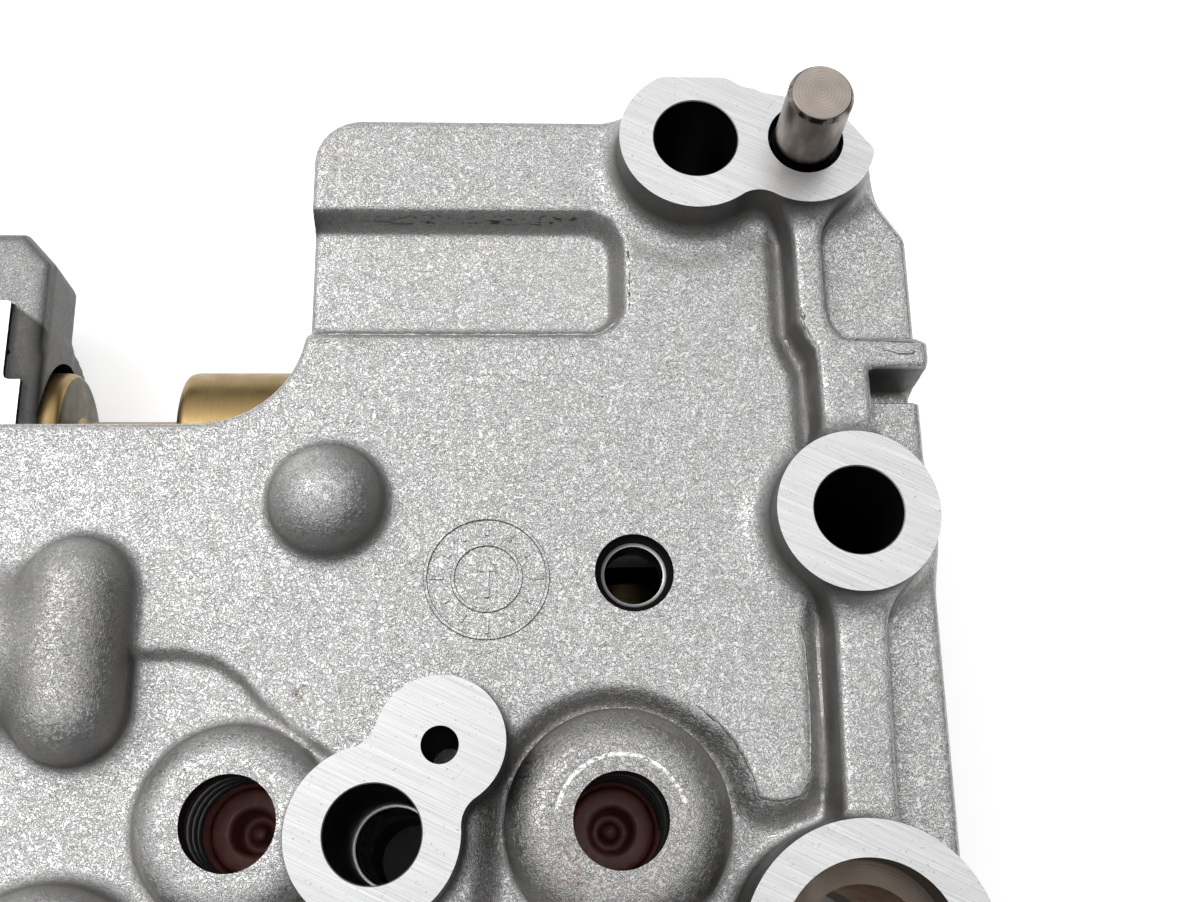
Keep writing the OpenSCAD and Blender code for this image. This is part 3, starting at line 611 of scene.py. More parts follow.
def cast_material(name, tone, wall_shade_tones, steep, grain):
    """Die-cast aluminium: a worm-like grain, dark pits, mottling, stains, steep walls painted darker as
    shade, and the marks of this part.
    """
    mat = material(name, (tone, tone, tone), 1.0, 0.45)
    n = Net(mat)

    def grey(k, warm=0.0):
        return (tone * k, tone * (k - warm), tone * (k - 2 * warm))

    worm = n.noise(n.mapped((0.42, 0.42, 0.42)), 1.0, 0.5, 2.4)
    worm = n.span(n.math("ABSOLUTE", n.math("SUBTRACT", worm, 0.5)), 0.0, 0.09)
    spark = n.span(n.noise(n.mapped((0.27, 0.27, 0.27), place=(4, 8, 2)), 1.0, 0.5, 2.0), 0.56, 0.72)
    cloud = n.noise(n.mapped((6.0, 6.0, 6.0)), 3.0, 0.6)
    pit = n.span(n.noise(n.mapped((0.24, 0.24, 0.24), place=(11, 2, 5)), 1.0, 0.5, 1.2), 0.64, 0.72)
    crumb = n.noise(n.mapped((0.34, 0.34, 0.34), place=(3, 7, 1)), 2.0, 0.6, 0.8)
    stain = n.span(n.noise(n.mapped((3.4, 3.4, 3.4), place=(5, 1, 9)), 3.0, 0.7), 0.62, 0.76)
    stain = n.times(stain, n.span(crumb, 0.5, 0.62))
    base = n.mix(worm, grey(0.98 - 0.42 * grain, 0.004), grey(0.98, 0.004))
    base = n.mix(n.times(spark, 0.38 * grain), base, grey(1.16))
    base = n.mix(n.span(cloud, 0.3, 0.7, 0.0, 0.25), base, grey(0.84, 0.012))
    base = n.mix(n.times(pit, 0.5 * grain), base, grey(0.25, 0.02))
    base = n.mix(n.times(stain, 0.6), base, (0.22, 0.13, 0.07))

    places = n.places()
    # steep walls take a darker grey as painted shade, and less grain
    smooth_wall_shade = shaded_walls_mask(n, steep, places)
    wall_shade_grey = n.mix(n.span(cloud, 0.3, 0.7), grey(wall_shade_tones[0], 0.004), grey(wall_shade_tones[1], 0.006))
    base, worn_edge_highlight = cast_marks(n, n.mix(smooth_wall_shade, base, wall_shade_grey), grey, crumb, places)
    relief = n.math("ADD", n.times(worm, 0.6), n.times(crumb, 0.8))
    flat = n.times(n.math("MAXIMUM", smooth_wall_shade, worn_edge_highlight), 0.6)
    relief = n.times(relief, n.math("SUBTRACT", 1.0, flat))
    rough = n.math("SUBTRACT", n.span(crumb, 0.3, 0.7, 0.50, 0.38), n.times(worn_edge_highlight, 0.15))
    n.finish(base, rough, n.bump(relief, 0.7 * grain, 0.06))
    return mat


def machined_material(name, tone, angle=-25.0):
    """Milled aluminium: fine straight lines across the face, with a few scratches."""
    mat = material(name, (tone, tone, tone), 0.85, 0.34)
    n = Net(mat)
    lines = n.noise(n.mapped((7.0, 0.09, 7.0), (0, 0, angle)), 3.0, 0.6)
    broad = n.noise(n.mapped((14.0, 0.8, 14.0), (0, 0, angle + 4)), 2.0, 0.5)
    scratch = n.span(n.noise(n.mapped((2.2, 0.06, 2.2), (0, 0, angle + 75)), 1.0, 0.4), 0.68, 0.76)
    cloud = n.noise(n.mapped((3.0, 3.0, 3.0)), 2.0, 0.6)
    speck = n.span(n.noise(n.mapped((0.22, 0.22, 0.22), place=(2, 6, 3)), 1.0, 0.5), 0.70, 0.76)
    low, high = (tone * 0.80, tone * 0.805, tone * 0.81), (tone * 1.10, tone * 1.10, tone * 1.11)
    base = n.mix(n.span(lines, 0.3, 0.7), low, high)
    base = n.mix(n.span(broad, 0.35, 0.65, 0.0, 0.25), base, (tone * 0.84,) * 3)
    base = n.mix(n.times(scratch, n.span(cloud, 0.45, 0.65, 0.0, 0.7)), base, (tone * 0.45,) * 3)
    base = n.mix(n.times(speck, 0.6), base, (tone * 0.40, tone * 0.37, tone * 0.34))
    n.finish(base, n.span(lines, 0.3, 0.7, 0.42, 0.28), n.bump(lines, 0.25, 0.012))
    return mat


def turned_material(name, colour, place, axis="Z", metallic=0.9, rough=0.35, pitch=0.16, dark=0.8):
    """A turned surface: fine rings round an axis and soft marks along it."""
    mat = material(name, colour, metallic, rough)
    n = Net(mat)
    turn, marks = {"Z": ((0, 0, 0), (4.0, 4.0, 0.09)), "X": ((0, 90, 0), (0.09, 4.0, 4.0)),
                   "Y": ((90, 0, 0), (4.0, 0.09, 4.0))}[axis]
    rings = n.tree.nodes.new("ShaderNodeTexWave")
    rings.wave_type = "RINGS"
    rings.rings_direction = "Z"
    fill(rings, {"Scale": 1.0, "Distortion": 1.4, "Detail": 2.0, "Detail Scale": 0.35})
    n.tree.links.new(n.mapped((pitch * 6, pitch * 6, pitch * 6), turn, place), rings.inputs["Vector"])
    along = n.noise(n.mapped(marks), 2.0, 0.6)
    cloud = n.noise(n.mapped((2.2, 2.2, 2.2)), 3.0, 0.6)
    low = tuple(c * dark for c in colour)
    high = tuple(min(1.0, c * 1.08) for c in colour)
    base = n.mix(n.span(along, 0.3, 0.7), low, high)
    base = n.mix(n.span(cloud, 0.35, 0.7, 0.0, 0.35), base, tuple(c * dark * 0.86 for c in colour))
    lines = n.math("ADD", rings.outputs["Fac"], n.times(along, 1.2))
    n.finish(base, n.span(cloud, 0.3, 0.7, rough * 0.85, rough * 1.25), n.bump(lines, 0.22, 0.012))
    return mat


def hole_shade_material():
    """The wall of a drilled hole, painted near black as the shade inside it, with faint drill marks."""
    mat = material("bore_wall_shade", (0.06, 0.06, 0.06), 0.6, 0.45)
    n = Net(mat)
    marks = n.noise(n.mapped((5.0, 5.0, 0.12)), 2.0, 0.6)
    base = n.mix(n.span(marks, 0.35, 0.65), (0.007, 0.007, 0.007), (0.020, 0.019, 0.018))
    n.finish(base, None, n.bump(marks, 0.3, 0.02))
    return mat


def moulded_material(name, colour):
    """Moulded plastic, a little mottled."""
    mat = material(name, colour, 0.0, 0.38)
    n = Net(mat)
    cloud = n.noise(n.mapped((0.9, 0.9, 0.9)), 3.0, 0.6)
    grain = n.noise(n.mapped((0.12, 0.12, 0.12)), 2.0, 0.5)
    base = n.mix(n.span(cloud, 0.35, 0.65), tuple(c * 0.78 for c in colour), tuple(c * 1.2 for c in colour))
    n.finish(base, n.span(grain, 0.3, 0.7, 0.30, 0.48), n.bump(grain, 0.2, 0.02))
    return mat


def sheet_material(name, colour):
    """Rolled sheet or drawn wire."""
    mat = material(name, colour, 0.85, 0.42)
    n = Net(mat)
    roll = n.noise(n.mapped((12.0, 0.25, 12.0)), 3.0, 0.6)
    cloud = n.noise(n.mapped((5.0, 5.0, 5.0)), 3.0, 0.6)
    base = n.mix(n.span(roll, 0.3, 0.7), tuple(c * 0.86 for c in colour), tuple(c * 1.08 for c in colour))
    base = n.mix(n.span(cloud, 0.4, 0.7, 0.0, 0.3), base, tuple(c * 0.7 for c in colour))
    n.finish(base, n.span(cloud, 0.3, 0.7, 0.36, 0.5), n.bump(roll, 0.2, 0.01))
    return mat


def pin_material():
    """The dowel's steel: a side painted darker towards the foot, a dark bevel, a turned end and a foot
    painted black as the shade in the hole.
    """
    mat = turned_material("pin_steel", (0.42, 0.37, 0.33), (*PIN, 0), "Z", 0.95, 0.33, 0.10, 0.8)
    n = Net(mat)
    base = n.colour()
    x, y, z = n.places()
    r = n.off_axis(x, y, PIN)[0]
    end = n.span(z, 50.62, 50.68)
    below_end = n.math("SUBTRACT", 1.0, end)
    patch = n.noise(n.mapped((0.9, 0.9, 2.4), place=(2, 1, 3)), 3.0, 0.6)
    swirl = n.math("ADD", n.times(r, 24.0), n.times(patch, 6.0))
    side = n.times(n.span(z, 44.4, 49.6, 0.85, 0.45), n.span(patch, 0.35, 0.6, 0.55, 1.0), below_end)
    base = n.mix(side, base, (0.075, 0.063, 0.054))
    bevel = n.times(n.span(z, 50.22, 50.30), below_end, n.span(patch, 0.4, 0.55))
    base = n.mix(bevel, base, (0.03, 0.027, 0.024))
    base = n.mix(n.times(end, n.span(n.math("SINE", swirl), 0.3, 1.0), 0.22), base, (0.12, 0.10, 0.09))
    # painted shade: the foot, down in the hole, is near black
    n.finish(n.mix(n.fall(z, 44.34, 44.40), base, (0.010, 0.010, 0.010)))
    return mat


def bush_material():
    """The brown bush, its upper end painted a dark grey-brown."""
    mat = turned_material("bush_brown", (0.64, 0.45, 0.30), (*PORT, 0), "Z", 0.85, 0.4, 0.12, 0.7)
    n = Net(mat)
    n.finish(n.mix(n.span(n.places()[2], 40.90, 40.97), n.colour(), (0.13, 0.105, 0.085)))
    return mat


def sleeve_material():
    """The locating sleeve: painted near black below its rim as the shade in the hole, and its rim painted
    near white as a highlight.
    """
    mat = turned_material("sleeve_steel", (0.60, 0.60, 0.61), (*SLEEVE, 0), "Z", 0.95, 0.25, 0.12, 0.85)
    n = Net(mat)
    # painted shade below the rim, and a painted highlight on it
    n.finish(n.mix(n.span(n.places()[2], 25.2, 25.45), (0.012, 0.012, 0.012), (0.95, 0.95, 0.95)))
    return mat


CAST = cast_material("cast_alloy", 0.75, (0.18, 0.255), 0.80, 0.9)
# the lower casting takes a copy of the cast alloy painted much darker, as shade
CAST_LOWER_SHADED = cast_material("cast_lower_shaded", 0.37, (0.21, 0.28), 0.95, 0.6)
MACHINED = machined_material("machined_tops", 0.70)
# a near black material for the walls of holes, painted shade
HOLE_SHADE = hole_shade_material()
BRONZE = turned_material("bronze_turned", (0.36, 0.25, 0.11), VALVE_AXIS, "X", 0.95, 0.36, 0.14, 0.92)
# a darker copy of the turned bronze for the valve's end faces, painted shade
BRONZE_END_SHADE = turned_material("bronze_ends_shaded", (0.128, 0.108, 0.078), VALVE_AXIS, "X", 0.95, 0.42, 0.14, 0.85)
SPOOL = turned_material("bronze_spool", (0.95, 0.74, 0.42), SPOOL_AXIS, "Y", 0.95, 0.34, 0.14, 0.8)
PIN_STEEL = pin_material()
BUSH = bush_material()
SLEEVE_STEEL = sleeve_material()
PLUG = turned_material("plug_alloy", (0.60, 0.60, 0.61), SPOOL_AXIS, "Y", 0.9, 0.36, 0.14, 0.85)
CUP = moulded_material("piston_red_brown", (0.30, 0.10, 0.085))
SPRING = sheet_material("spring_wire", (0.16, 0.16, 0.165))
SHEET = sheet_material("plate_steel", (0.46, 0.47, 0.48))
CLIP = sheet_material("clip_steel", (0.42, 0.43, 0.44))
BOLT = sheet_material("bolt_zinc", (0.36, 0.37, 0.39))


def dress(node, mat):
    """Give a CAD node a material."""
    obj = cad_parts[node]
    if not obj.material_slots:
        obj.data.materials.append(mat)
    for s in obj.material_slots:
        s.material = mat


# The upper casting, then its machining. Its cutters run from below the casting to above it.
CUT_LOW, CUT_HIGH = 15, 48
xs = np.concatenate([np.arange(-101.2, 24.0, 0.8), np.arange(24.0, 101.9, 0.33)])
ys = np.concatenate([np.arange(-63.6, -16.0, 0.8), np.arange(-16.0, 64.9, 0.33)])
zs = np.concatenate([[17.6, 21.0, 25.0, 29.0, 32.0, 34.0], np.arange(35.0, 45.9, 0.33)])
cast = surface(lambda x, y, z: np.maximum(upper_cast(x, y, z), PART_Z - 1.0 - z), xs, ys, zs)
upper = mesh_object("upper_casting", *cast)
thin(upper, 172000)


def slab(low, high):
    """A cutter over the whole plan between two heights."""
    return lambda bm: block(bm, (-110, -70, low), (110, 70, high))


def upper_holes(bm):
    low, high = CUT_LOW, CUT_HIGH
    mouth = [(SCREW_R, 43.92), (MOUTH_R, 44.01), (MOUTH_R, high), (0, high)]
    for c in PLAIN + [TOP]:
        lathe(bm, [(0, low), (SCREW_R, low)] + mouth, (*c, 0))
    lathe(bm, [(0, low), (SEAT_R, low), (SEAT_R, 25.5), (SCREW_R, 25.5)] + mouth, (*SLEEVE, 0))
    hole(bm, VENT, 30, (VENT_R, high), n=48)
    hole(bm, PIN, 26, (PIN_SEAT_R, 40), (PIN_HOLE_R, high))
    hole(bm, PORT, low, (4.5, 25), (6.15, high), n=128)
    for c, roof in zip(DAMPERS, ROOFS):
        hole(bm, c, low, (DAMPER_R, roof), (DOME_HOLE_R, high))
    bevel = [(2.44, 38.65), (2.96, 39.55), (2.96, high), (0, high)]
    lathe(bm, [(0, 35), (RING_R, 35), (RING_R, 38.55)] + bevel, (*RING, 0))
    for c in JOINT_BOLTS:
        hole(bm, c, low, (3.02, 31.5), n=48)


# Oil channels in the parting face: middle, size on the plan, depth. The first lies under the ringed hole.
CHANNELS = [((SPOOL_X[0], 26.6), (8, 14), 16.5), (at(61.5, 79.4), (70, 7), 9), (at(60, 104.4), (83, 7), 9),
            (at(124.5, 62), (7, 70), 9), ((-66.5, 0.5), (7, 70), 9), (at(32.5, 12.4), (24, 7), 9),
            (at(76.5, 45.9), (7, 25), 9)]


def upper_channels(bm):
    for (x, y), (w, d), deep in CHANNELS:
        block(bm, (x - w / 2, y - d / 2, CUT_LOW), (x + w / 2, y + d / 2, PART_Z + deep))


for make in (slab(BOSS_Z, 60), slab(5, PART_Z), upper_holes, upper_channels):
    cut(upper, make)


def faces_of(mesh):
    """Centres in millimetres and normals of a mesh's faces."""
    n = len(mesh.polygons)
    centre, normal = np.empty(n * 3), np.empty(n * 3)
    mesh.polygons.foreach_get("center", centre)
    mesh.polygons.foreach_get("normal", normal)
    return centre.reshape(-1, 3) / MM, normal.reshape(-1, 3)


def paint(obj, mats, index):
    """Give each face one of the materials."""
    obj.data.materials.clear()
    for m in mats:
        obj.data.materials.append(m)
    obj.data.polygons.foreach_set("material_index", index.astype(np.int32))
    obj.data.update()


def near_hole(c, p, r):
    """Whether faces lie on the wall of an upright hole."""
    return np.abs(np.hypot(c[:, 0] - p[0], c[:, 1] - p[1]) - r) < 0.06


def upper_paint(c, nrm):
    """Which faces of the upper casting are cast (0), machined (1) or drilled (2); drilled walls are painted
    near black as shade.
    """
    z, up = c[:, 2], nrm[:, 2]
    index = np.zeros(len(c))
    index[(np.abs(z - BOSS_Z) < 0.01) & (up > 0.9)] = 1
    index[(np.abs(z - PART_Z) < 0.01) & (up < -0.9)] = 1
    holes = [(p, SCREW_R) for p in PLAIN + [TOP, SLEEVE]]
    holes += [(VENT, VENT_R), (PIN, PIN_HOLE_R), (PIN, PIN_SEAT_R), (RING, RING_R), (SLEEVE, SEAT_R)]
    holes += [(p, r) for p in DAMPERS for r in (DOME_HOLE_R, DAMPER_R)]
    for p, r in holes:
        index[(np.abs(up) < 0.3) & near_hole(c, p, r)] = 2
    index[(z > 43.93) & (up > 0.3)] = 1
    # the ringed hole: a bevel painted near black as shade, and a bright machined edge
    away = np.hypot(c[:, 0] - RING[0], c[:, 1] - RING[1])
    index[(away < 3.05) & (z > 38.0) & (up < 0.8)] = 2
    index[(away < 2.43) & (away > 2.21) & (z > 38.0)] = 1
    (x, y), (w, d), deep = CHANNELS[0]
    under = (np.abs(c[:, 0] - x) < w / 2 + 0.01) & (np.abs(c[:, 1] - y) < d / 2 + 0.01)
    index[under & (z < PART_Z + deep + 0.01) & (z > PART_Z + 0.01)] = 1
    return index


paint(upper, [CAST, MACHINED, HOLE_SHADE], upper_paint(*faces_of(upper.data)))
smooth(upper)
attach(upper, "housing")
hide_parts("upper_housing")

# Flash and burrs that the mould left: thin ridges that follow the surface.


def height(x, y):
    """Height of the casting over places on the plan."""
    lo, hi = np.full(len(x), 30.0), np.full(len(x), 46.0)
    for _ in range(24):
        mid = (lo + hi) / 2
        solid = upper_cast(x, y, mid) < 0
        lo, hi = np.where(solid, mid, lo), np.where(solid, hi, mid)
    return lo


def along(pts, gap):
    """Even places along a polyline."""
    pts = np.array(pts, float)
    run = np.concatenate([[0], np.cumsum(np.hypot(*np.diff(pts, axis=0).T))])
    t = np.linspace(0, run[-1], max(3, int(run[-1] / gap)))
    return np.stack([np.interp(t, run, pts[:, i]) for i in (0, 1)], 1)


def ridge(bm, pts, width, tall, rough, seed, lift=0.0):
    """A low ridge along a line on the casting, uneven as flash is."""
    rng = np.random.default_rng(seed)
    pts = along(pts, 0.18)
    n = len(pts)
    z = height(pts[:, 0], pts[:, 1]) + lift
    z = np.convolve(np.pad(z, 2, mode="edge"), np.ones(5) / 5, "valid")
    wave = np.convolve(rng.normal(size=n + 4), np.ones(5) / 5, "valid") * 2.0
    scale = np.clip(1.0 + rough * wave, 0.25, 2.0)
    scale[[0, -1]] = 0.15
    e = np.gradient(pts, axis=0)
    e /= np.hypot(e[:, 0], e[:, 1])[:, None]
    side = np.stack([-e[:, 1], e[:, 0]], 1)
    shift = rough * 0.5 * width * np.convolve(rng.normal(size=n + 2), np.ones(3) / 3, "valid")
    rows = []
    for across, up in ((-1, -0.5), (-0.6, 0.6), (0.0, 1.0), (0.6, 0.6), (1, -0.5)):
        q = pts + side * (across * width * scale + shift)[:, None]
        h = z + up * tall * scale
        rows.append([bm.verts.new((q[i, 0] * MM, q[i, 1] * MM, h[i] * MM)) for i in range(n)])
    for a, b in zip(rows, rows[1:] + rows[:1]):
        for i in range(n - 1):
            bm.faces.new((a[i], b[i], b[i + 1], a[i + 1]))
    bm.faces.new([r[0] for r in rows])
    bm.faces.new([r[-1] for r in rows][::-1])


def flash(bm):
    rim = [(81.6, 14.8), (83.1, 13.6), (84.2, 12.4), (84.9, 11.2), (85.4, 10.0), (85.95, 8.3), (87.3, 8.0),
           (88.7, 8.3), (89.5, 9.4)]
    ridge(bm, rim, 0.11, 0.10, 0.35, 3)
    ridge(bm, [(89.6, 9.9), (89.8, 12.2), (89.9, 15.1), (89.8, 19.0), (89.4, 20.6)], 0.10, 0.09, 0.4, 5)
    ridge(bm, plan((7.15, 10.6), (7.1, 17.6), (6.6, 19.2), (5.6, 20.2), (0.6, 20.4)), 0.10, 0.10, 0.4, 7)
    ridge(bm, plan((9.3, 17.6), (8.9, 19.6), (8.2, 20.9), (8.1, 24.0), (8.05, 27.4)), 0.13, 0.12, 0.7, 9)
    edge = [(9.0, 36.75), (44.5, 36.75)] + arc((44.5, 44.5), 7.75, -88, -4, 10) + [(52.3, 46.0)]
    ridge(bm, edge, 0.16, 0.14, 0.9, 11, 0.02)
    ridge(bm, plan((23.4, 17.6), (24.6, 18.6), (30, 18.75), (46.5, 18.7)), 0.10, 0.08, 0.6, 13)
    ridge(bm, plan((3.2, 20.9), (2.0, 21.3), (0.6, 21.2)), 0.12, 0.10, 0.8, 15)


seams = built("mould_flash", flash)
seams.data.materials.append(CAST)
smooth(seams, 60)
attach(seams, "housing")

# A cast date dial of no maker: two rings, twelve ticks and an arrow.


def dial(bm):
    cx, cy, z = 66.5, 24.3, FACE_Z - 0.03
    top = z + 0.18
    for r in (4.5, 2.5):
        bead = [(r - 0.17, z), (r - 0.10, z + 0.20), (r + 0.10, z + 0.20), (r + 0.17, z)]
        lathe(bm, bead, (cx, cy, 0), closed=True)
    start, half = 3.15, 0.14
    for i in range(12):
        a = math.radians(30 * i)
        e, f = np.array([math.cos(a), math.sin(a)]), np.array([-math.sin(a), math.cos(a)])
        end = start + (1.05 if i % 3 == 0 else 0.65)
        corners = ((start, -half), (end, -half), (end, half), (start, half))
        prism(bm, [np.array([cx, cy]) + e * q + f * w for q, w in corners], z, top)
    arrow = ((-0.18, -1.6), (0.18, -1.6), (0.18, 0.5), (0.75, 0.5), (0, 1.75), (-0.75, 0.5), (-0.18, 0.5))
    prism(bm, [(cx + dx, cy + dy) for dx, dy in arrow], z, top)


date = built("date_dial", dial)
date.data.materials.append(CAST)
smooth(date, 30)
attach(date, "housing")

# The lower casting.
xs = np.concatenate([np.arange(-101.2, 3.0, 1.6), np.arange(3.0, 57.0, 0.4), np.arange(57.0, 102.6, 1.0)])
ys = np.concatenate([np.arange(-63.8, 32.0, 1.6), np.arange(32.0, 65.4, 0.4)])
zs = np.arange(-2.0, 20.2, 0.4)
lower = mesh_object("lower_casting", *surface(lower_cast, xs, ys, zs))
thin(lower, 90000)


def lower_holes(bm):
    for p in PLAIN + [TOP]:
        hole(bm, p, -5, (SCREW_R, 25))
    hole(bm, SLEEVE, -5, (SCREW_R, 12), (SEAT_R, 25))
    for p in JOINT_BOLTS:
        hole(bm, p, -5, (5.5, 6), (3.2, 25))


def lower_bores(bm):
    bore = [(0, 6.7), (BORE_R, 6.7), (BORE_R, 21.0), (8.1, 21.4), (8.1, 26.5), (BORE_R, 26.5), (BORE_R, 108),
            (0, 108)]
    lathe(bm, bore, VALVE_AXIS, (1, 0, 0), n=128)
    spool_bore = [(0, -29.5), (SPOOL_BORE_R, -29.5), (SPOOL_BORE_R, 70), (0, 70)]
    for x in SPOOL_X:
        lathe(bm, spool_bore, (x, 0, SPOOL_Z), (0, -1, 0))


def lower_ports(bm):
    for x in SPOOL_X:
        for k in range(3):
            y = 16.2 - 13 * k
            if x != SPOOL_X[0] or k:
                block(bm, (x - 2, y - 2.5, SPOOL_Z), (x + 2, y + 2.5, 30))
        block(bm, (x - 6.1, -57.2, SPOOL_Z - 2.8), (x + 6.1, -55.8, 30))
    x = SPOOL_X[0]
    block(bm, (x - 2, 13.7, SPOOL_Z), (x + 2, 18.7, 30))
    block(bm, (x - 3, 22.5, SPOOL_Z), (x + 3, 30.1, 30))


# Oil tracks in the underside, each from one place to another.
TRACKS = [(at(21.7, 50), at(21.7, 108)), (at(51, 42), at(51, 84)), (at(58, 92), at(69, 106)),
          (at(64.5, 44), at(64.5, 80)), (at(78, 40), at(78, 104)), (at(91.5, 52), at(91.5, 82)),
          (at(120, 34), at(120, 84)), (at(130, 92), at(144, 106)), ((-72, 38.5), (-72, -37.5)),
          ((-62, -11.5), (-38, -11.5))]
TRACK_R = 3


def lower_tracks(bm):
    for a, b in TRACKS:
        turn = math.degrees(math.atan2(b[1] - a[1], b[0] - a[0]))
        ring = arc(b, TRACK_R, turn - 90, turn + 90, 16) + arc(a, TRACK_R, turn + 90, turn + 270, 16)
        prism(bm, ring, -5, 2, taper=0.0)


def lower_paint(c, nrm):
    """Which faces of the lower casting are cast (0), machined (1) or drilled (2); drilled walls are painted
    near black as shade.
    """
    x, z, up = c[:, 0], c[:, 2], nrm[:, 2]
    index = np.zeros(len(c))
    index[(np.abs(z - LOWER_T) < 0.01) & (up > 0.9)] = 1
    index[(np.abs(z) < 0.01) & (up < -0.9)] = 1
    bore = np.hypot(c[:, 1] - VALVE_Y, z - VALVE_Z) < 8.13
    index[bore & (x > 6.0) & (x < 24.97)] = 2
    index[bore & (x > 26.0) & (np.abs(nrm[:, 0]) < 0.5)] = 2
    for p in PLAIN + [TOP, SLEEVE]:
        index[(np.abs(up) < 0.3) & near_hole(c, p, SCREW_R)] = 2
    return index


for make in (slab(LOWER_T, 40), slab(-20, 0), lower_holes, lower_bores, lower_ports, lower_tracks):
    cut(lower, make)
paint(lower, [CAST_LOWER_SHADED, MACHINED, HOLE_SHADE], lower_paint(*faces_of(lower.data)))
smooth(lower)
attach(lower, "housing")
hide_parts("lower_housing")


def rounded(profile, r, steps=5):
    """Round the inner corners of a (radius, height) profile."""
    out = [profile[0]]
    for a, b, c in zip(profile, profile[1:], profile[2:]):
        va, vc = Vector(a) - Vector(b), Vector(c) - Vector(b)
        if b[0] <= 1e-9 or va.length < 1e-6 or vc.length < 1e-6:
            out.append(b)
            continue
        k = min(r, va.length * 0.45, vc.length * 0.45)
        p, q = Vector(b) + va.normalized() * k, Vector(b) + vc.normalized() * k
        for i in range(steps + 1):
            t = i / steps
            w = p * (1 - t) ** 2 + Vector(b) * 2 * t * (1 - t) + q * t * t
            out.append((w.x, w.y))
    return out + [profile[-1]]


# The selector valve, with soft land edges.
VALVE_END_X = 9.7
LANDS = [(0, 0), (VALVE_R, 0), (VALVE_R, 17), (2.5, 17), (2.5, 27.4), (VALVE_R, 27.4), (VALVE_R, 53.4),
         (2.5, 53.4), (2.5, 57.4), (VALVE_R, 57.4), (VALVE_R, 69.4), (0, 69.4)]
valve = built("selector_spool", lambda bm: lathe(
    bm, rounded(LANDS, 1.1), (VALVE_END_X, VALVE_Y, VALVE_Z), (1, 0, 0), n=128))
_, normals = faces_of(valve.data)
# faces along the axis take the darker bronze, painted shade
paint(valve, [BRONZE, BRONZE_END_SHADE], np.abs(normals[:, 0]) > 0.9)
smooth(valve, 40)
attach(valve, "selector_valve")
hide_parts("selector_valve")

# The dowel pin.
PIN_SHAPE = [(0, 26), (2.2, 26), (2.6, 26.4), (2.6, 43.7), (2.2, 43.7), (2.2, 44.3), (2.42, 44.3),
             (2.5, 44.38), (2.5, 50.2), (2.47, 50.32), (2.28, 50.64), (2.18, 50.7), (0, 50.7)]
pin = built("pin_dowel", lambda bm: lathe(bm, PIN_SHAPE, (*PIN, 0), n=128))
pin.data.materials.append(PIN_STEEL)
smooth(pin, 25)
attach(pin, "housing")
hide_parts("dowel_pin")

# Damper pistons: cups with a rounded rim and a nub in the middle.
RIM_Z = PART_Z + 11.9
CUP_SHAPE = [(0, PART_Z), (4.96, PART_Z), (4.96, RIM_Z - 0.8), (3.25, RIM_Z - 0.8), (3.15, RIM_Z),
             (1.65, RIM_Z), (1.5, RIM_Z - 3.6), (0.75, RIM_Z - 3.6), (0.55, RIM_Z - 2.2), (0, RIM_Z - 2.1)]
for i, p in enumerate(DAMPERS, 1):
    cup = built(f"damper_cup_{i}", lambda bm: lathe(bm, rounded(CUP_SHAPE, 0.4), (*p, 0), n=96))
    cup.data.materials.append(CUP)
    smooth(cup, 50)
    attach(cup, f"damper_{i}")
    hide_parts(f"damper_piston_{i}")


def coil(bm, r, wire, length, turns, place, axis, sides=10, steps=28):
    """Round wire wound along an axis, with closed ends."""
    rot = Vector((0, 0, 1)).rotation_difference(Vector(axis)).to_matrix()
    base = Vector(place)
    pitch = (length - wire) / turns
    rings = []
    for i in range(turns * steps + 1):
        a = 2 * math.pi * i / steps
        ring = []
        for j in range(sides):
            b = 2 * math.pi * j / sides
            q = r + wire / 2 * math.cos(b)
            h = wire / 2 + pitch * i / steps + wire / 2 * math.sin(b)
            v = Vector((q * math.cos(a), q * math.sin(a), h))
            ring.append(bm.verts.new((base + rot @ v) * MM))
        rings.append(ring)
    for a, b in zip(rings, rings[1:]):
        for j in range(sides):
            k = (j + 1) % sides
            bm.faces.new((a[j], b[j], b[k], a[k]))
    bm.faces.new(rings[0])
    bm.faces.new(rings[-1][::-1])


# Springs for the regulator spools and the dampers, each with a mesh of its own.
for i, x in enumerate(SPOOL_X, 1):
    start = (x, -10.85, SPOOL_Z)
    s = built(f"regulator_coil_{i}", lambda bm: coil(bm, 3.05, 0.9, 40.6, 7, start, (0, -1, 0)))
    s.data.materials.append(SPRING)
    smooth(s, 60)
    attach(s, "housing")
    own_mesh(s)
    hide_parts(f"regulator_spring_{i}")
for i, (p, roof) in enumerate(zip(DAMPERS, ROOFS), 1):
    low = PART_Z + 11.95
    s = built(f"damper_coil_{i}", lambda bm: coil(bm, 3.86, 0.8, roof - 0.05 - low, 4, (*p, low), (0, 0, 1)))
    s.data.materials.append(SPRING)
    smooth(s, 60)
    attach(s, "housing")
    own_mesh(s)
    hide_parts(f"damper_spring_{i}")

# CAD nodes that keep their shape and only get a material.
for i in range(1, 6):
    dress(f"regulator_spool_{i}", SPOOL)
for node, mat in (("separator_plate", SHEET), ("locating_sleeve", SLEEVE_STEEL), ("port_bush", BUSH),
                  ("spool_plugs", PLUG), ("selector_plug", PLUG), ("plug_clips", CLIP),
                  ("joining_bolts", BOLT)):
    dress(node, mat)

# Floor, sky and lamps.


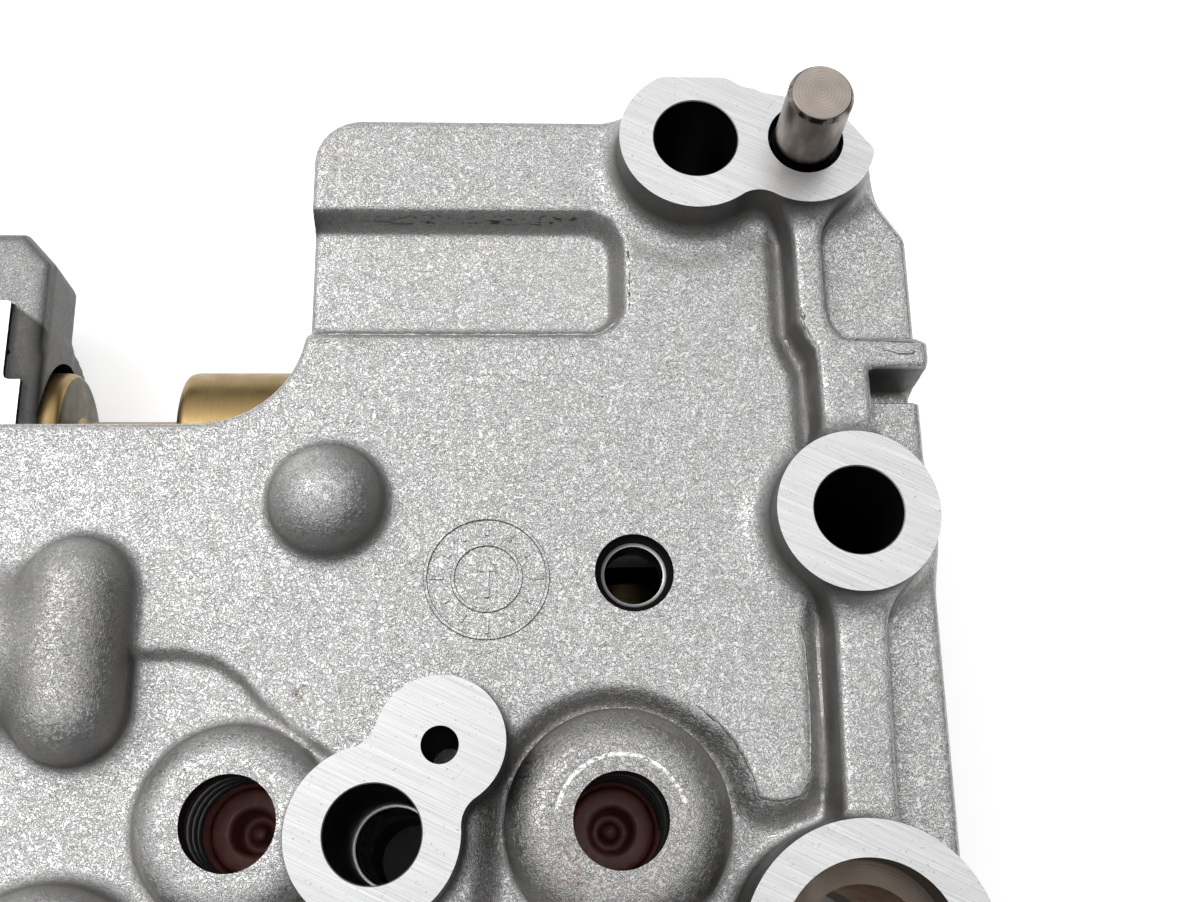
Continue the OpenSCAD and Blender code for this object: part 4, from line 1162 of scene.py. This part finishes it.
def floor_material():
    """A pale floor that glows a little to the eye, but not under the part."""
    mat = material("floor_pale", (0.90, 0.90, 0.90), 0.0, 0.9)
    n = Net(mat)
    path = n.tree.nodes.new("ShaderNodeLightPath")
    seen = n.math("MAXIMUM", path.outputs["Is Camera Ray"], path.outputs["Is Glossy Ray"])
    seen = n.math("MAXIMUM", seen, path.outputs["Is Transmission Ray"])
    grain = n.noise(n.mapped((3.0, 3.0, 3.0)), 2.0, 0.5)
    n.finish(n.mix(n.span(grain, 0.3, 0.7), (0.89, 0.89, 0.89), (0.91, 0.91, 0.91)))
    n.shader.inputs["Emission Color"].default_value = (1.0, 1.0, 1.0, 1.0)
    x, y, _ = n.places()
    under = n.times(n.fall(n.math("ABSOLUTE", x), 96.0, 98.0),
                    n.fall(n.math("ABSOLUTE", n.math("ADD", y, 12.0)), 45.0, 47.0))
    n.put(n.shader.inputs["Emission Strength"], n.times(seen, n.math("SUBTRACT", 1.0, under), 0.55))
    return mat


floor = built("floor", lambda bm: block(bm, (-1500, -1500, -5), (1500, 1500, -0.05)))
floor.data.materials.append(floor_material())


def studio_sky():
    """One great soft light, brightest up and to the left, and dark along the horizon."""
    world = bpy.data.worlds.new("studio")
    world.use_nodes = True
    tree = world.node_tree
    sky = tree.nodes["Background"]
    coord = tree.nodes.new("ShaderNodeTexCoord")
    facing = tree.nodes.new("ShaderNodeVectorMath")
    facing.operation = "DOT_PRODUCT"
    facing.inputs[1].default_value = Vector((-0.20, 0.16, 0.966)).normalized()
    ramp = tree.nodes.new("ShaderNodeMapRange")
    ramp.interpolation_type = "SMOOTHERSTEP"
    fill(ramp, {"From Min": 0.30, "From Max": 0.92, "To Min": 0.03, "To Max": 1.0})
    tree.links.new(coord.outputs["Generated"], facing.inputs[0])
    tree.links.new(facing.outputs["Value"], ramp.inputs["Value"])
    tree.links.new(ramp.outputs["Result"], sky.inputs["Color"])
    sky.inputs["Strength"].default_value = 1.0
    return world


bpy.context.scene.world = studio_sky()


def lamp(name, place, target, size, power):
    data = bpy.data.lights.new(name, "AREA")
    data.shape = "RECTANGLE"
    data.size, data.size_y = size
    data.energy = power
    obj = bpy.data.objects.new(name, data)
    obj.location = place
    obj.rotation_euler = (Vector(target) - Vector(place)).to_track_quat("-Z", "Y").to_euler()
    bpy.context.scene.collection.objects.link(obj)


lamp("key", (-0.50, 0.35, 1.00), (0.06, 0.03, 0.04), (0.50, 0.50), 2.8)
lamp("top", (0.10, 0.45, 1.25), (0.06, 0.03, 0.04), (1.30, 1.30), 1.8)

bpy.context.scene.view_settings.view_transform = "Standard"
